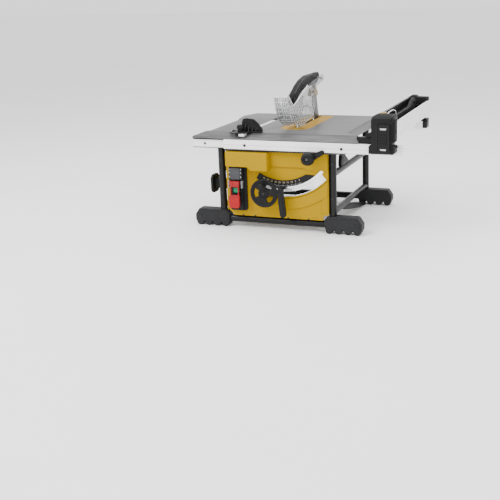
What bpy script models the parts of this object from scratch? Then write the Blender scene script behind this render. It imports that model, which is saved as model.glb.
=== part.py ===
"""Compact jobsite table saw: an assembly of separate pieces, in metres, +Z up.

Pieces are placed in the cage's frame: x = 0 midway between the cage's posts, z = 0 on the floor, and the
operator stands on the -Y side. The root empty then moves everything so that the whole object's bounding box
stands centred on the origin.
"""
import math

import bmesh
import bpy
from mathutils import Matrix, Vector

# ---- driving dimensions (metres, cage frame) ----
ROOT_AT = (-0.0695, 0.0330, 0.0)
GAP = 0.0003                      # air between pieces that touch

TABLE_Z = 0.333                   # top of the table
SKIN_Z = 0.3255                   # underside of the table's skin
SLOT_RIB_Z = 0.3185               # underside of the rib that holds the miter slot
SKIRT_Z = 0.300                   # lower edge of the table's skirt
LIP_Z = 0.3128                    # underside of the front lip
TABLE_FRONT = -0.297
TABLE_BACK = 0.166
TABLE_HALF = 0.2375
SLOT_X = -0.105                   # miter slot centre
SLOT_HALF = 0.0098
SLOT_FLOOR_Z = 0.3235

BLADE_X = 0.028                   # blade plane; the bevel pivot line is at this x, on the table top
BLADE_R = 0.105
BLADE_HALF_T = 0.0011
ARBOR = (BLADE_X, -0.020, 0.293)
GEAR_DROP = 0.040                 # motor axis below the arbor
TRUNNION_R = 0.055

POST_X = 0.199
FRONT_Y = -0.256
REAR_Y = 0.163
TUBE_R = 0.0125
POST_TOP = (0.3250, 0.2860)       # front posts reach the table's skin, rear posts stop under the rear rail
LOW_TUBE_Z = 0.029
SIDE_TUBE_Z = (0.0715, 0.200)
FOOT_IN = 0.172
FOOT_OUT = 0.302
FOOT_TOP = 0.0600

PANEL_Y = (-0.2750, -0.2720)      # front panel, outer and inner face
PANEL_X = (-0.173, 0.189)
PANEL_Z = (0.045, 0.2715)
RAIL_Z = (0.2790, 0.3115)
RACK_Z = 0.2735                   # pitch surface of both racks
PINION = (0.132, 0.260)           # pinion shaft x and z
PINION_R = 0.0125
FENCE_X = (0.347, 0.4205)
FENCE_Z = 0.3345

WHEEL = (-0.026, 0.136)           # hand wheel shaft x and z
KNOB_UP = 0.0300                  # the crank knob stands this far above the shaft at rest
LOCK = (0.033, 0.150)             # bevel lock bolt x and z
SCREW_Y = -0.190                  # lift screw, at the hand wheel shaft's x
COLUMN_X = -0.065
COLUMN_Y = (-0.165, 0.115)
COLUMN_R = 0.006

GUARD_PIN = (0.105, 0.478)        # shield pivot y and z
PAWL_PIN = (0.075, 0.440)
SHIELD_X = ((0.0040, 0.0065), (0.0495, 0.0520))

MITER_PIVOT = (SLOT_X, -0.265)
BUTTON_SIZE = 0.016

SIDES = 16                        # facets on small round pieces


# ---- scene ----
def clear_scene():
    for obj in list(bpy.data.objects):
        bpy.data.objects.remove(obj, do_unlink=True)


def new_collection(name):
    made = bpy.data.collections.new(name)
    bpy.context.scene.collection.children.link(made)
    return made


clear_scene()
SAW = new_collection("table_saw")
CUTTERS = new_collection("cutters")
BODIES = {}


def body(name, at, parent=None):
    """An empty on a moving body's joint axis; `at` is in the cage frame."""
    empty = bpy.data.objects.new("frame_" + name, None)
    SAW.objects.link(empty)
    start = Vector((0, 0, 0))
    if parent:
        empty.parent = BODIES[parent][0]
        start = BODIES[parent][1]
    empty.location = Vector(at) - start
    BODIES[name] = (empty, Vector(at))
    return empty


def material(name, colour, roughness=0.5, metallic=0.0):
    mat = bpy.data.materials.get(name)
    if mat:
        return mat
    mat = bpy.data.materials.new(name)
    mat.use_nodes = True
    shader = mat.node_tree.nodes["Principled BSDF"]
    shader.inputs["Base Color"].default_value = (*colour, 1)
    shader.inputs["Roughness"].default_value = roughness
    shader.inputs["Metallic"].default_value = metallic
    mat.diffuse_color = (*colour, 1)
    return mat


FINISH = {
    "table": ((0.30, 0.31, 0.31), 0.45, 0.3),
    "aluminium": ((0.80, 0.81, 0.82), 0.35, 0.9),
    "yellow": ((0.90, 0.60, 0.03), 0.45, 0.0),
    "throat": ((0.92, 0.60, 0.05), 0.45, 0.0),
    "black_steel": ((0.03, 0.03, 0.035), 0.35, 0.2),
    "black_plastic": ((0.035, 0.035, 0.04), 0.55, 0.0),
    "charcoal": ((0.07, 0.07, 0.08), 0.65, 0.0),
    "steel": ((0.62, 0.63, 0.64), 0.30, 1.0),
    "cast": ((0.42, 0.43, 0.44), 0.55, 0.8),
    "red": ((0.72, 0.04, 0.04), 0.40, 0.0),
    "green": ((0.05, 0.42, 0.20), 0.40, 0.0),
    "clear": ((0.80, 0.84, 0.86), 0.10, 0.0),
    "brass_bush": ((0.60, 0.45, 0.20), 0.35, 0.9),
}


def place(obj, owner, finish):
    """Give a piece its material and hang it on its body's empty, without moving it."""
    obj.data.materials.clear()
    obj.data.materials.append(material("saw_" + finish, *FINISH[finish]))
    empty, at = BODIES[owner]
    obj.parent = empty
    obj.location = obj.location - at
    return obj


def new_object(name, mesh, helper=False):
    obj = bpy.data.objects.new(name, mesh)
    (CUTTERS if helper else SAW).objects.link(obj)
    if helper:
        obj.hide_render = True
        obj.display_type = "WIRE"
    return obj


def mesh_from(bm, name, smooth=None):
    mesh = bpy.data.meshes.new(name)
    bm.normal_update()
    bm.to_mesh(mesh)
    bm.free()
    if smooth:
        mesh.shade_smooth()
        mesh.set_sharp_from_angle(angle=math.radians(smooth))
    return mesh


# ---- shapes ----
def box(name, low, high, helper=False):
    bm = bmesh.new()
    bmesh.ops.create_cube(bm, size=1.0)
    size = Vector(high) - Vector(low)
    middle = (Vector(high) + Vector(low)) / 2
    bmesh.ops.scale(bm, vec=size, verts=bm.verts)
    bmesh.ops.translate(bm, vec=middle, verts=bm.verts)
    return new_object(name, mesh_from(bm, name), helper)


def rod(name, start, end, radius, sides=SIDES, helper=False, end_radius=None):
    """A round bar, or a cone when end_radius is given, between two points."""
    start, end = Vector(start), Vector(end)
    far = radius if end_radius is None else end_radius
    bm = bmesh.new()
    bmesh.ops.create_cone(
        bm, cap_ends=True, segments=sides, radius1=radius, radius2=far, depth=(end - start).length
    )
    turn = (end - start).to_track_quat("Z", "Y").to_matrix().to_4x4()
    bmesh.ops.transform(bm, matrix=Matrix.Translation((start + end) / 2) @ turn, verts=bm.verts)
    return new_object(name, mesh_from(bm, name, 40), helper)


AXES = {
    # where an outline's (u, v) and its thickness w go: columns are the row-frame directions of u, v, w
    "x": Matrix(((0, 0, 1), (1, 0, 0), (0, 1, 0))),
    "y": Matrix(((1, 0, 0), (0, 0, -1), (0, 1, 0))),
    "z": Matrix(((1, 0, 0), (0, 1, 0), (0, 0, 1))),
}


def flat(name, outlines, axis, low, high, helper=False):
    """A flat piece: a 2D outline (u, v), with any holes after it, extruded along `axis` from low to high.

    Along x the outline is (y, z), along y it is (x, z), and along z it is (x, y).
    """
    if not isinstance(outlines[0][0], (tuple, list, Vector)):
        outlines = [outlines]
    curve = bpy.data.curves.new(name + "_outline", "CURVE")
    curve.dimensions = "2D"
    curve.fill_mode = "BOTH"
    curve.extrude = (high - low) / 2
    for outline in outlines:
        spline = curve.splines.new("POLY")
        spline.points.add(len(outline) - 1)
        for point, (u, v) in zip(spline.points, outline):
            point.co = (u, v, 0, 1)
        spline.use_cyclic_u = True
    guide = bpy.data.objects.new(name + "_guide", curve)
    bpy.context.scene.collection.objects.link(guide)
    bpy.context.view_layer.update()
    graph = bpy.context.evaluated_depsgraph_get()
    mesh = bpy.data.meshes.new_from_object(guide.evaluated_get(graph))
    mesh.name = name
    bpy.data.objects.remove(guide, do_unlink=True)
    bpy.data.curves.remove(curve)
    bm = bmesh.new()
    bm.from_mesh(mesh)
    bmesh.ops.remove_doubles(bm, verts=bm.verts, dist=1e-6)
    bmesh.ops.translate(bm, vec=(0, 0, (low + high) / 2 * (-1 if axis == "y" else 1)), verts=bm.verts)
    bmesh.ops.transform(bm, matrix=AXES[axis].to_4x4(), verts=bm.verts)
    bmesh.ops.recalc_face_normals(bm, faces=bm.faces)
    bm.to_mesh(mesh)
    bm.free()
    return new_object(name, mesh, helper)


def turned(name, profile, start, direction, sides=SIDES):
    """A turned piece. The profile's (radius, height) points run from its top on the axis to its bottom."""
    mesh = bpy.data.meshes.new(name)
    points = [(radius, 0.0, height) for radius, height in profile]
    edges = [(i, i + 1) for i in range(len(points) - 1)]
    if profile[0] == profile[-1]:
        points.pop()
        edges[-1] = (len(points) - 1, 0)
    mesh.from_pydata(points, edges, [])
    obj = new_object(name, mesh)
    screw = obj.modifiers.new("turn", "SCREW")
    screw.axis = "Z"
    screw.steps = sides
    screw.render_steps = sides
    screw.use_merge_vertices = True
    screw.merge_threshold = 0.00005
    screw.use_normal_calculate = False
    obj.rotation_mode = "QUATERNION"
    obj.rotation_quaternion = Vector(direction).to_track_quat("Z", "Y")
    obj.location = start
    return obj


def boolean(target, other, operation):
    step = target.modifiers.new(operation.lower(), "BOOLEAN")
    step.operation = operation
    step.solver = "EXACT"
    step.object = other
    return target


def cut(target, *others):
    for other in others:
        boolean(target, other, "DIFFERENCE")
    return target


def join(target, *others):
    for other in others:
        boolean(target, other, "UNION")
    return target


def place_all(owner, finish, target, *helpers):
    """Place a piece and the cutters that shape it on the same body."""
    place(target, owner, finish)
    for helper in helpers:
        empty, at = BODIES[owner]
        helper.parent = empty
        helper.location = helper.location - at
    return target


def arc(centre, radius, first, last, steps):
    """Points on an arc, by angle in degrees from the first axis towards the second."""
    out = []
    for i in range(steps + 1):
        angle = math.radians(first + (last - first) * i / steps)
        out.append((centre[0] + radius * math.cos(angle), centre[1] + radius * math.sin(angle)))
    return out


def hanging_arc(radius, first, last, steps):
    """Points (x, z) on an arc about the bevel pivot, by angle from straight down towards +X."""
    return arc((BLADE_X, TABLE_Z), radius, first - 90, last - 90, steps)


def ring_sector(inner, outer, first, last, steps):
    return hanging_arc(outer, first, last, steps) + hanging_arc(inner, last, first, steps)


def hull_of_circles(a, radius_a, b, radius_b, steps=8):
    """Outline round two circles, the first straight above the second."""
    return arc(a, radius_a, 0, 180, steps) + arc(b, radius_b, 180, 360, steps)


def rounded_rectangle(low, high, radius, steps=4):
    (u0, v0), (u1, v1) = low, high
    corners = (
        ((u1 - radius, v0 + radius), -90),
        ((u1 - radius, v1 - radius), 0),
        ((u0 + radius, v1 - radius), 90),
        ((u0 + radius, v0 + radius), 180),
    )
    out = []
    for centre, start in corners:
        out += arc(centre, radius, start, start + 90, steps)
    return out


# ---- table, throat plate ----
TABLE_OUTLINE = [
    (-0.289, TABLE_FRONT), (0.299, TABLE_FRONT), (0.275, -0.257), (TABLE_HALF, -0.214),
    (TABLE_HALF, 0.150), (0.224, TABLE_BACK), (-0.234, TABLE_BACK + 0.003), (-0.259, 0.099),
    (-0.250, 0.022), (-TABLE_HALF, -0.013), (-TABLE_HALF, -0.257), (-0.289, -0.290),
]
THROAT_LOW = (-0.018, -0.186)
THROAT_HIGH = (0.085, 0.150)
THROAT_STEP = 0.3288


def throat_outline(grow):
    low = (THROAT_LOW[0] - grow, THROAT_LOW[1] - grow)
    high = (THROAT_HIGH[0] + grow, THROAT_HIGH[1] + grow)
    front = 0.040 + grow
    back = 0.012 + grow
    out = arc((high[0] - front, low[1] + front), front, -90, 0, 5)
    out += arc((high[0] - back, high[1] - back), back, 0, 90, 3)
    out += arc((low[0] + back, high[1] - back), back, 90, 180, 3)
    out += arc((low[0] + front, low[1] + front), front, 180, 270, 5)
    return out


def make_table():
    top = flat("table_top", TABLE_OUTLINE, "z", SKIRT_Z, TABLE_Z)
    inner = 0.2325
    pocket_front = -0.270
    pocket_back = TABLE_BACK - 0.005
    rib = 0.016
    cutters = [
        box("under_front_lip", (-0.32, -0.32, 0.28), (0.33, pocket_front + 0.001, LIP_Z), True),
        box("under_pocket", (-inner, pocket_front, 0.29), (inner, pocket_back, SLOT_RIB_Z), True),
        box("under_right", (SLOT_X + rib, pocket_front, 0.31), (inner, pocket_back, SKIN_Z), True),
        box("under_left", (-inner, pocket_front, 0.31), (SLOT_X - rib, pocket_back, SKIN_Z), True),
        box("miter_slot", (SLOT_X - SLOT_HALF, -0.32, SLOT_FLOOR_Z), (SLOT_X + SLOT_HALF, 0.20, 0.345), True),
        flat("throat_hole", throat_outline(-0.006), "z", 0.31, 0.345, True),
        flat("throat_seat", throat_outline(0.0005), "z", THROAT_STEP, 0.345, True),
    ]
    lip = [(-0.264, TABLE_Z + 0.0003), (-0.264, 0.36), (-0.33, 0.36), (-0.33, 0.296), (TABLE_FRONT, 0.3148)]
    cutters.append(flat("lip_slope", lip, "x", -0.34, 0.34, True))
    for side in (-1, 1):
        cutters.append(box("ear_relief_%d" % (side > 0),
                           (min(side * 0.2385, side * 0.33), pocket_front, 0.28),
                           (max(side * 0.2385, side * 0.33), -0.200 if side > 0 else -0.250, LIP_Z), True))
    place_all("chassis", "table", cut(top, *cutters), *cutters)

    plate = flat("throat_plate", throat_outline(0), "z", 0.3292, 0.3328)
    slot = box("blade_slot", (0.0205, -0.137, 0.32), (0.0375, 0.140, 0.34), True)
    place_all("throat_plate", "throat", cut(plate, slot), slot)


# ---- rails ----
def make_rails():
    front = box("front_rail", (-0.289, -0.2880, 0.2795), (0.3455, -0.2692, 0.3100))
    end = [(0.2945, -0.2880), (0.3455, -0.2880), (0.3455, -0.2692), (0.2832, -0.2692)]
    bracket = flat("rail_end_bracket", end, "z", 0.3090, 0.3325, True)
    place_all("chassis", "aluminium", join(front, bracket), bracket)
    place(box("rear_rail", (-0.255, 0.1712, 0.2865), (0.292, 0.1900, 0.3135)), "chassis", "aluminium")

    front = box("sliding_front_rail", (-0.171, -0.2980, RAIL_Z[0]), (0.441, -0.2885, RAIL_Z[1]))
    rack = box("front_rack", (-0.168, -0.2965, RACK_Z), (0.256, -0.2905, RAIL_Z[0] + 0.002), True)
    place_all("rails", "aluminium", join(front, rack), rack)
    rear = box("sliding_rear_rail", (-0.171, 0.1905, 0.2850), (0.405, 0.2000, 0.3150))
    rack = box("rear_rack", (-0.168, 0.1920, RACK_Z), (0.256, 0.1985, 0.2870), True)
    place_all("rails", "aluminium", join(rear, rack), rack)
    cap = box("rear_rail_end_cap", (0.4053, 0.1905, 0.289), (0.4215, 0.232, 0.323))
    wing = box("end_cap_wing", (0.3965, 0.2005, 0.289), (0.4060, 0.232, 0.323), True)
    place_all("rails", "black_plastic", join(cap, wing), wing)

    x, z = PINION
    shaft = rod("pinion_shaft", (x, -0.3080, z), (x, 0.1990, z), 0.005, 12)
    drums = [
        rod("front_pinion", (x, -0.2965, z), (x, -0.2905, z), PINION_R, 24, True),
        rod("rear_pinion", (x, 0.1920, z), (x, 0.1985, z), PINION_R, 24, True),
    ]
    place_all("pinion", "steel", join(shaft, *drums), *drums)
    knob = [(0, 0.0235), (0.014, 0.0235), (0.0175, 0.0215), (0.0215, 0.008), (0.022, 0.004), (0.022, 0),
            (0, 0)]
    place(turned("fine_adjust_knob", knob, (x, -0.3085, z), (0, -1, 0), 24), "pinion", "black_plastic")

    arm = arc((x, z), 0.0160, 55, 320, 14)
    arm += [(x + 0.0310, z + 0.0030), (x + 0.0500, z + 0.0140), (x + 0.0530, z + 0.0240),
            (x + 0.0460, z + 0.0290)]
    lever = flat("rail_lock_lever", [arm, arc((x, z), 0.0058, 0, 330, 11)], "y", -0.3075, -0.2992)
    place(lever, "rail_lock", "black_plastic")


# ---- cage and feet ----
def hoop_mesh(name, y, radius, top):
    """One bent tube: up both posts and along the floor, with rounded lower corners."""
    bend = 0.030
    half = POST_X - bend
    path = [(-POST_X, top)]
    path += arc((-half, LOW_TUBE_Z + bend), bend, 180, 270, 4)
    path += arc((half, LOW_TUBE_Z + bend), bend, 270, 360, 4)
    path += [(POST_X, top)]
    curve = bpy.data.curves.new(name, "CURVE")
    curve.dimensions = "3D"
    curve.bevel_depth = radius
    curve.bevel_resolution = 2
    curve.use_fill_caps = True
    spline = curve.splines.new("POLY")
    spline.points.add(len(path) - 1)
    for point, (px, pz) in zip(spline.points, path):
        point.co = (px, y, pz, 1)
    guide = bpy.data.objects.new(name + "_guide", curve)
    bpy.context.scene.collection.objects.link(guide)
    bpy.context.view_layer.update()
    mesh = bpy.data.meshes.new_from_object(guide.evaluated_get(bpy.context.evaluated_depsgraph_get()))
    bpy.data.objects.remove(guide, do_unlink=True)
    bpy.data.curves.remove(curve)
    bm = bmesh.new()
    bm.from_mesh(mesh)
    bmesh.ops.remove_doubles(bm, verts=bm.verts, dist=1e-6)
    bmesh.ops.recalc_face_normals(bm, faces=bm.faces)
    bm.to_mesh(mesh)
    bm.free()
    return mesh


def make_cage():
    cage = new_object("cage_frame", hoop_mesh("cage_frame", FRONT_Y, TUBE_R, POST_TOP[0]))
    parts = [new_object("rear_hoop", hoop_mesh("rear_hoop", REAR_Y, TUBE_R, POST_TOP[1]), True)]
    for side in (-1, 1):
        for level, z in enumerate(SIDE_TUBE_Z):
            name = "side_tube_%d_%d" % (side > 0, level)
            start = (side * POST_X, FRONT_Y + 0.004, z)
            end = (side * POST_X, REAR_Y - 0.004, z)
            parts.append(rod(name, start, end, 0.0105, 12, True))
    place_all("chassis", "black_steel", join(cage, *parts), *parts)


def make_feet():
    bumps = 4
    pitch = (FOOT_OUT - FOOT_IN) / bumps
    sole = []
    for i in range(bumps):
        u = FOOT_IN + pitch * i
        before, after = 0.0060 + 0.0004 * i, 0.0064 + 0.0004 * i
        sole += [(u + 0.0020, before), (u + 0.0065, 0.0), (u + pitch - 0.0065, 0.0),
                 (u + pitch - 0.0020, after)]
    sole[0] = (FOOT_IN, 0.010)
    sole[-1] = (FOOT_OUT, 0.010)
    outline = sole + [(FOOT_OUT, 0.043), (FOOT_OUT - 0.014, FOOT_TOP), (FOOT_IN + 0.012, FOOT_TOP),
                      (FOOT_IN, 0.048)]
    for y, place_name in ((FRONT_Y, "front"), (REAR_Y, "rear")):
        for side, side_name in ((-1, "left"), (1, "right")):
            points = [(side * u, v) for u, v in outline]
            if side < 0:
                points.reverse()
            name = "foot_%s_%s" % (place_name, side_name)
            foot = flat(name, points, "y", y - 0.019, y + 0.019)
            bore = new_object(name + "_bore", hoop_mesh(name + "_bore", y, TUBE_R + 0.0005, 0.200), True)
            place_all("chassis", "charcoal", cut(foot, bore), bore)


# ---- body panels and what is fixed to them ----
OPENING_R = (0.1790, 0.1900, 0.2135)          # arc opening: inner edge, edge of the bolt's way, outer edge
OPENING_TURN = (-20.0, 46.0, 49.5)            # first angle, last angle of the wide part, last angle


def make_front_panel():
    x0, x1 = PANEL_X
    z0, z1 = PANEL_Z
    outline = [
        (x0 + 0.021, z0), (x1 - 0.020, z0), (x1 - 0.018, z0 + 0.0165), (x1, z0 + 0.018), (x1, z1),
        (x0, z1), (x0, z0 + 0.024),
    ]
    inner, middle, outer = OPENING_R
    first, wide, last = OPENING_TURN
    opening = hanging_arc(outer, first, wide, 12) + hanging_arc(middle, wide + 0.5, last, 1)
    opening += hanging_arc(inner, last, first, 12)
    shaft_hole = arc(PINION, 0.0068, 0, 330, 11)
    panel = flat("front_panel", [outline, opening, shaft_hole], "y", *PANEL_Y)
    boss = [(-0.164, z1), (-0.164, 0.2210), (-0.0840, 0.2210), (-0.0760, 0.2095), (-0.0135, 0.2095),
            (-0.0135, z1)]
    raised = flat("raised_box", boss, "y", -0.310, -0.2735, True)
    step = box("raised_step", (-0.020, -0.280, 0.2225), (x1, -0.2735, z1), True)
    flange = box("right_flange", (0.1815, -0.2735, 0.063), (0.1845, -0.190, z1), True)
    room = [(-0.161, z1 - 0.003), (-0.161, 0.2240), (-0.0825, 0.2240), (-0.0745, 0.2125), (-0.0165, 0.2125),
            (-0.0165, z1 - 0.003)]
    hollow = flat("raised_box_hollow", room, "y", -0.307, -0.2715, True)
    bore = rod("shaft_hole_2", (PINION[0], -0.285, PINION[1]), (PINION[0], -0.2735, PINION[1]), 0.0068, 12,
               True)
    cut(join(panel, raised, step, flange), hollow, bore)
    place_all("chassis", "yellow", panel, raised, step, flange, hollow, bore)


def make_side_panel():
    outline = [(-0.2715, 0.0615), (0.136, 0.0615), (0.148, 0.072), (0.148, 0.295), (-0.2685, 0.295),
               (-0.2685, 0.278), (-0.2715, 0.278)]
    vents = []
    for i in range(6):
        y = -0.070 + 0.022 * i
        vents.append([(y, 0.200), (y + 0.010, 0.200), (y + 0.010, 0.270), (y, 0.270)])
    place(flat("left_side_panel", [outline] + vents, "x", -0.1775, -0.1745), "chassis", "yellow")


def make_bevel_fixed_parts():
    scale = ring_sector(0.157, 0.1785, -31, 40, 14)
    place(flat("bevel_scale", scale, "y", -0.2785, PANEL_Y[0] - GAP), "chassis", "black_plastic")
    guide = ring_sector(0.1875, 0.2165, -22, 44.0, 14)
    slot = ring_sector(0.1965, 0.2115, -18.6, 33.6, 12)
    place(flat("bevel_guide", [guide, slot], "y", -0.2715, -0.2685), "chassis", "steel")

    for name, low, high in (("front_trunnion", -0.2655, -0.2535), ("rear_trunnion", 0.1380, 0.1490)):
        ceiling = math.degrees(math.acos((TABLE_Z - SKIN_Z + GAP) / TRUNNION_R))
        place(flat(name, hanging_arc(TRUNNION_R, -ceiling, ceiling, 16), "y", low, high), "chassis", "cast")


def make_switch():
    plate = flat("switch_plate", rounded_rectangle((-0.162, 0.0645), (-0.099, 0.2190), 0.008, 3), "y",
                 -0.2820, PANEL_Y[0] - GAP)
    hood = flat("switch_hood", rounded_rectangle((-0.158, 0.1728), (-0.110, 0.2175), 0.005, 3), "y",
                -0.3000, -0.2810, True)
    place_all("chassis", "black_plastic", join(plate, hood), hood)

    outer = rounded_rectangle((-0.156, 0.078), (-0.116, 0.1715), 0.005, 3)
    window = [(-0.1460, 0.1240), (-0.1210, 0.1240), (-0.1210, 0.1520), (-0.1460, 0.1520)]
    place(flat("stop_paddle", [outer, window], "y", -0.3120, -0.3040), "paddle", "red")
    low = (-0.1315 - BUTTON_SIZE / 2, 0.1395 - BUTTON_SIZE / 2)
    high = (-0.1315 + BUTTON_SIZE / 2, 0.1395 + BUTTON_SIZE / 2)
    place(flat("start_button", rounded_rectangle(low, high, 0.002, 2), "y", -0.3030, -0.2870), "start",
          "green")


def make_side_fittings():
    neck = box("cord_cleat", (-0.242, -0.234, 0.128), (-0.1778, -0.214, 0.160))
    flange = flat("cleat_flange", [(-0.255, 0.122), (-0.245, 0.112), (-0.210, 0.112), (-0.200, 0.122),
                                   (-0.200, 0.166), (-0.210, 0.176), (-0.245, 0.176), (-0.255, 0.166)],
                  "x", -0.247, -0.238, True)
    place_all("chassis", "black_plastic", join(neck, flange), flange)
    gland = [(0, 0.024), (0.005, 0.024), (0.0065, 0.006), (0.011, 0.006), (0.011, 0), (0, 0)]
    place(turned("cord_gland", gland, (-0.1778, 0.110, 0.100), (-1, 0, 0), 12), "chassis", "black_plastic")
    hook = [(-0.176, 0.2110), (-0.100, 0.2110), (-0.088, 0.2150), (-0.094, 0.2230), (-0.124, 0.2400),
            (-0.132, 0.2480), (-0.168, 0.2480), (-0.176, 0.2260)]
    place(flat("storage_hook", hook, "x", 0.193, 0.205), "chassis", "black_plastic")
    seat = [(-0.150, 0.0608), (-0.075, 0.0608), (0.020, 0.0400), (0.100, 0.0200), (0.1435, 0.0130),
            (0.1435, 0.0020), (0.060, 0.0100), (-0.040, 0.0300), (-0.130, 0.0500)]
    place(flat("storage_bracket", seat, "x", 0.193, 0.205), "chassis", "black_plastic")


# ---- rip fence ----
def make_fence():
    x0, x1 = FENCE_X
    z = FENCE_Z
    beam = [(x0, z), (x1, z), (x1, 0.387), (x1 - 0.004, 0.387), (x1 - 0.004, z + 0.0035),
            (x0 + 0.004, z + 0.0035), (x0 + 0.004, 0.403), (x0, 0.403)]
    body_of_beam = flat("fence_beam", beam, "y", -0.2615, 0.278)
    cheek = box("fence_side_wall", (x1 - 0.004, -0.3005, z), (x1, -0.260, 0.387), True)
    place_all("fence", "aluminium", join(body_of_beam, cheek), cheek)

    tray = flat("fence_tray", [(0.3515, 0.3385), (0.416, 0.3385), (0.416, 0.376), (0.3515, 0.376)], "y",
                -0.255, 0.195)
    pocket = box("tray_pocket", (0.360, -0.235, 0.350), (0.4075, 0.180, 0.39), True)
    side_wall = box("tray_side_wall", (0.3515, -0.255, 0.370), (0.3560, 0.195, 0.399), True)
    place_all("fence", "black_plastic", join(cut(tray, pocket), side_wall), pocket, side_wall)

    side = [(-0.328, 0.287), (-0.3005, 0.287), (-0.3005, z), (-0.2620, z), (-0.2620, 0.401),
            (-0.270, 0.407), (-0.324, 0.407), (-0.333, 0.399), (-0.333, 0.292)]
    latch = flat("fence_front_latch", side, "x", 0.347, 0.4160)
    cheek = box("latch_cheek", (0.415, -0.333, 0.292), (0.424, -0.3012, 0.400), True)
    place_all("fence", "black_plastic", join(latch, cheek), cheek)

    rear = [(0.3515, 0.3385), (0.416, 0.3385), (0.416, 0.3875), (0.4215, 0.3875), (0.4215, 0.399),
            (0.4190, 0.401), (0.384, 0.4015), (0.376, 0.407), (0.360, 0.407), (0.3515, 0.398)]
    place(flat("fence_rear_bracket", rear, "y", 0.2020, 0.232), "fence", "black_plastic")

    lever = [(0.3640, 0.2955), (0.4080, 0.2955), (0.4080, 0.379), (0.4040, 0.383), (0.368, 0.383),
             (0.3640, 0.379)]
    windows = [[(0.376, z0), (0.397, z0), (0.397, z0 + 0.0065), (0.376, z0 + 0.0065)]
               for z0 in (0.3000, 0.3645)]
    place(flat("fence_latch_lever", [lever] + windows, "y", -0.3440, -0.3345), "fence_lever", "black_plastic")

    stick = [(-0.215, 0.354), (0.060, 0.354), (0.110, 0.366), (0.150, 0.366), (0.168, 0.380), (0.158, 0.402),
             (0.130, 0.409), (0.095, 0.400), (0.060, 0.384), (-0.175, 0.384), (-0.185, 0.370),
             (-0.215, 0.368)]
    grip = [(0.118, 0.380), (0.146, 0.380), (0.150, 0.388), (0.142, 0.394), (0.120, 0.392)]
    place(flat("push_stick", [stick, grip], "x", 0.376, 0.386), "push_stick", "black_plastic")


# ---- bevel carriage, lift and drive ----
def make_carriage():
    x, z = BLADE_X, TABLE_Z
    edge = hanging_arc(0.0565, 20, -56, 8)
    plate = [(x - 0.118, z - 0.030), (x - 0.118, z - 0.215), (x - 0.030, z - 0.215), (x + 0.012, z - 0.192),
             (x + 0.012, z - 0.160), (x + 0.0065, z - 0.145), (x + 0.0065, z - 0.105)]
    carriage = flat("bevel_carriage", edge + plate, "y", -0.2655, -0.2595)
    shaft_hole = rod("wheel_shaft_hole", (WHEEL[0], -0.27, WHEEL[1]), (WHEEL[0], -0.25, WHEEL[1]), 0.0058,
                     12, True)
    rear = hanging_arc(0.0565, 14, -56, 7)
    rear += [(x - 0.118, z - 0.030), (x - 0.118, z - 0.215), (x - 0.073, z - 0.215), (x - 0.073, z - 0.085),
             (x - 0.030, z - 0.075), (x + 0.008, z - 0.072)]
    helpers = [
        flat("rear_plate", rear, "y", 0.1380, 0.1440, True),
        box("lower_beam", (-0.085, -0.2605, 0.118), (-0.045, 0.1390, 0.130), True),
        box("upper_beam", (-0.085, -0.2605, 0.3015), (-0.050, 0.1390, 0.3110), True),
        box("screw_seat", (-0.046, -0.202, 0.118), (-0.014, -0.178, 0.130), True),
    ]
    cut(join(carriage, *helpers), shaft_hole)
    place_all("bevel", "cast", carriage, shaft_hole, *helpers)

    for name, y in (("guide_column_front", COLUMN_Y[0]), ("guide_column_rear", COLUMN_Y[1])):
        place(rod(name, (COLUMN_X, y, 0.130 + GAP), (COLUMN_X, y, 0.3015 - GAP), COLUMN_R, 12), "bevel",
              "steel")

    screw = rod("lift_screw", (WHEEL[0], SCREW_Y, 0.130 + GAP), (WHEEL[0], SCREW_Y, 0.300), 0.006, 12)
    gear = rod("screw_gear", (WHEEL[0], SCREW_Y, 0.1405), (WHEEL[0], SCREW_Y, 0.1485), 0.0095, 16, True,
               end_radius=0.012)
    place_all("lift_screw", "steel", join(screw, gear), gear)


WHEEL_Y = -0.310
WHEEL_R = 0.0490
WHEEL_WINDOWS = ((178, 28), (318, 27), (50, 20))   # centre angle and half width of each opening, degrees


def make_hand_wheel():
    x, z = WHEEL
    windows = []
    for angle, half in WHEEL_WINDOWS:
        windows.append(arc((x, z), 0.0355, angle - half, angle + half, 6)
                       + arc((x, z), 0.0195, angle + half, angle - half, 4))
    rim = arc((x, z), WHEEL_R, 0, 345, 23)
    wheel = flat("hand_wheel", [rim] + windows, "y", WHEEL_Y - 0.0045, WHEEL_Y + 0.0045)
    helpers = [rod("wheel_hub", (x, -0.317, z), (x, -0.303, z), 0.012, 16, True)]
    helpers.append(rod("knob_boss", (x, -0.3155, z + KNOB_UP), (x, -0.3065, z + KNOB_UP), 0.008, 12, True))
    helpers.append(rod("wheel_shaft", (x, -0.3060, z), (x, -0.2090, z), 0.005, 12, True))
    helpers.append(rod("wheel_gear", (x, -0.2150, z), (x, -0.2035, z), 0.012, 16, True, end_radius=0.0095))
    place_all("hand_wheel", "black_plastic", join(wheel, *helpers), *helpers)

    knob = [(0, 0.026), (0.0065, 0.026), (0.0085, 0.022), (0.0075, 0.006), (0.0065, 0), (0, 0)]
    place(turned("crank_knob", knob, (x, -0.3158, z + KNOB_UP), (0, -1, 0), 12), "crank_knob",
          "black_plastic")

    x, z = LOCK
    arm = arc((x, z), 0.0100, -20, 200, 8)
    arm += [(x - 0.0075, z - 0.040), (x - 0.0015, z - 0.088), (x + 0.003, z - 0.094), (x + 0.014, z - 0.093),
            (x + 0.018, z - 0.087), (x + 0.0125, z - 0.040)]
    lever = flat("bevel_lock_lever", arm, "y", -0.3150, -0.3040)
    bolt = rod("lock_bolt", (x, -0.3045, z), (x, -0.2658, z), 0.0035, 12, True)
    place_all("bevel_lock", "black_plastic", join(lever, bolt), bolt)


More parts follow.
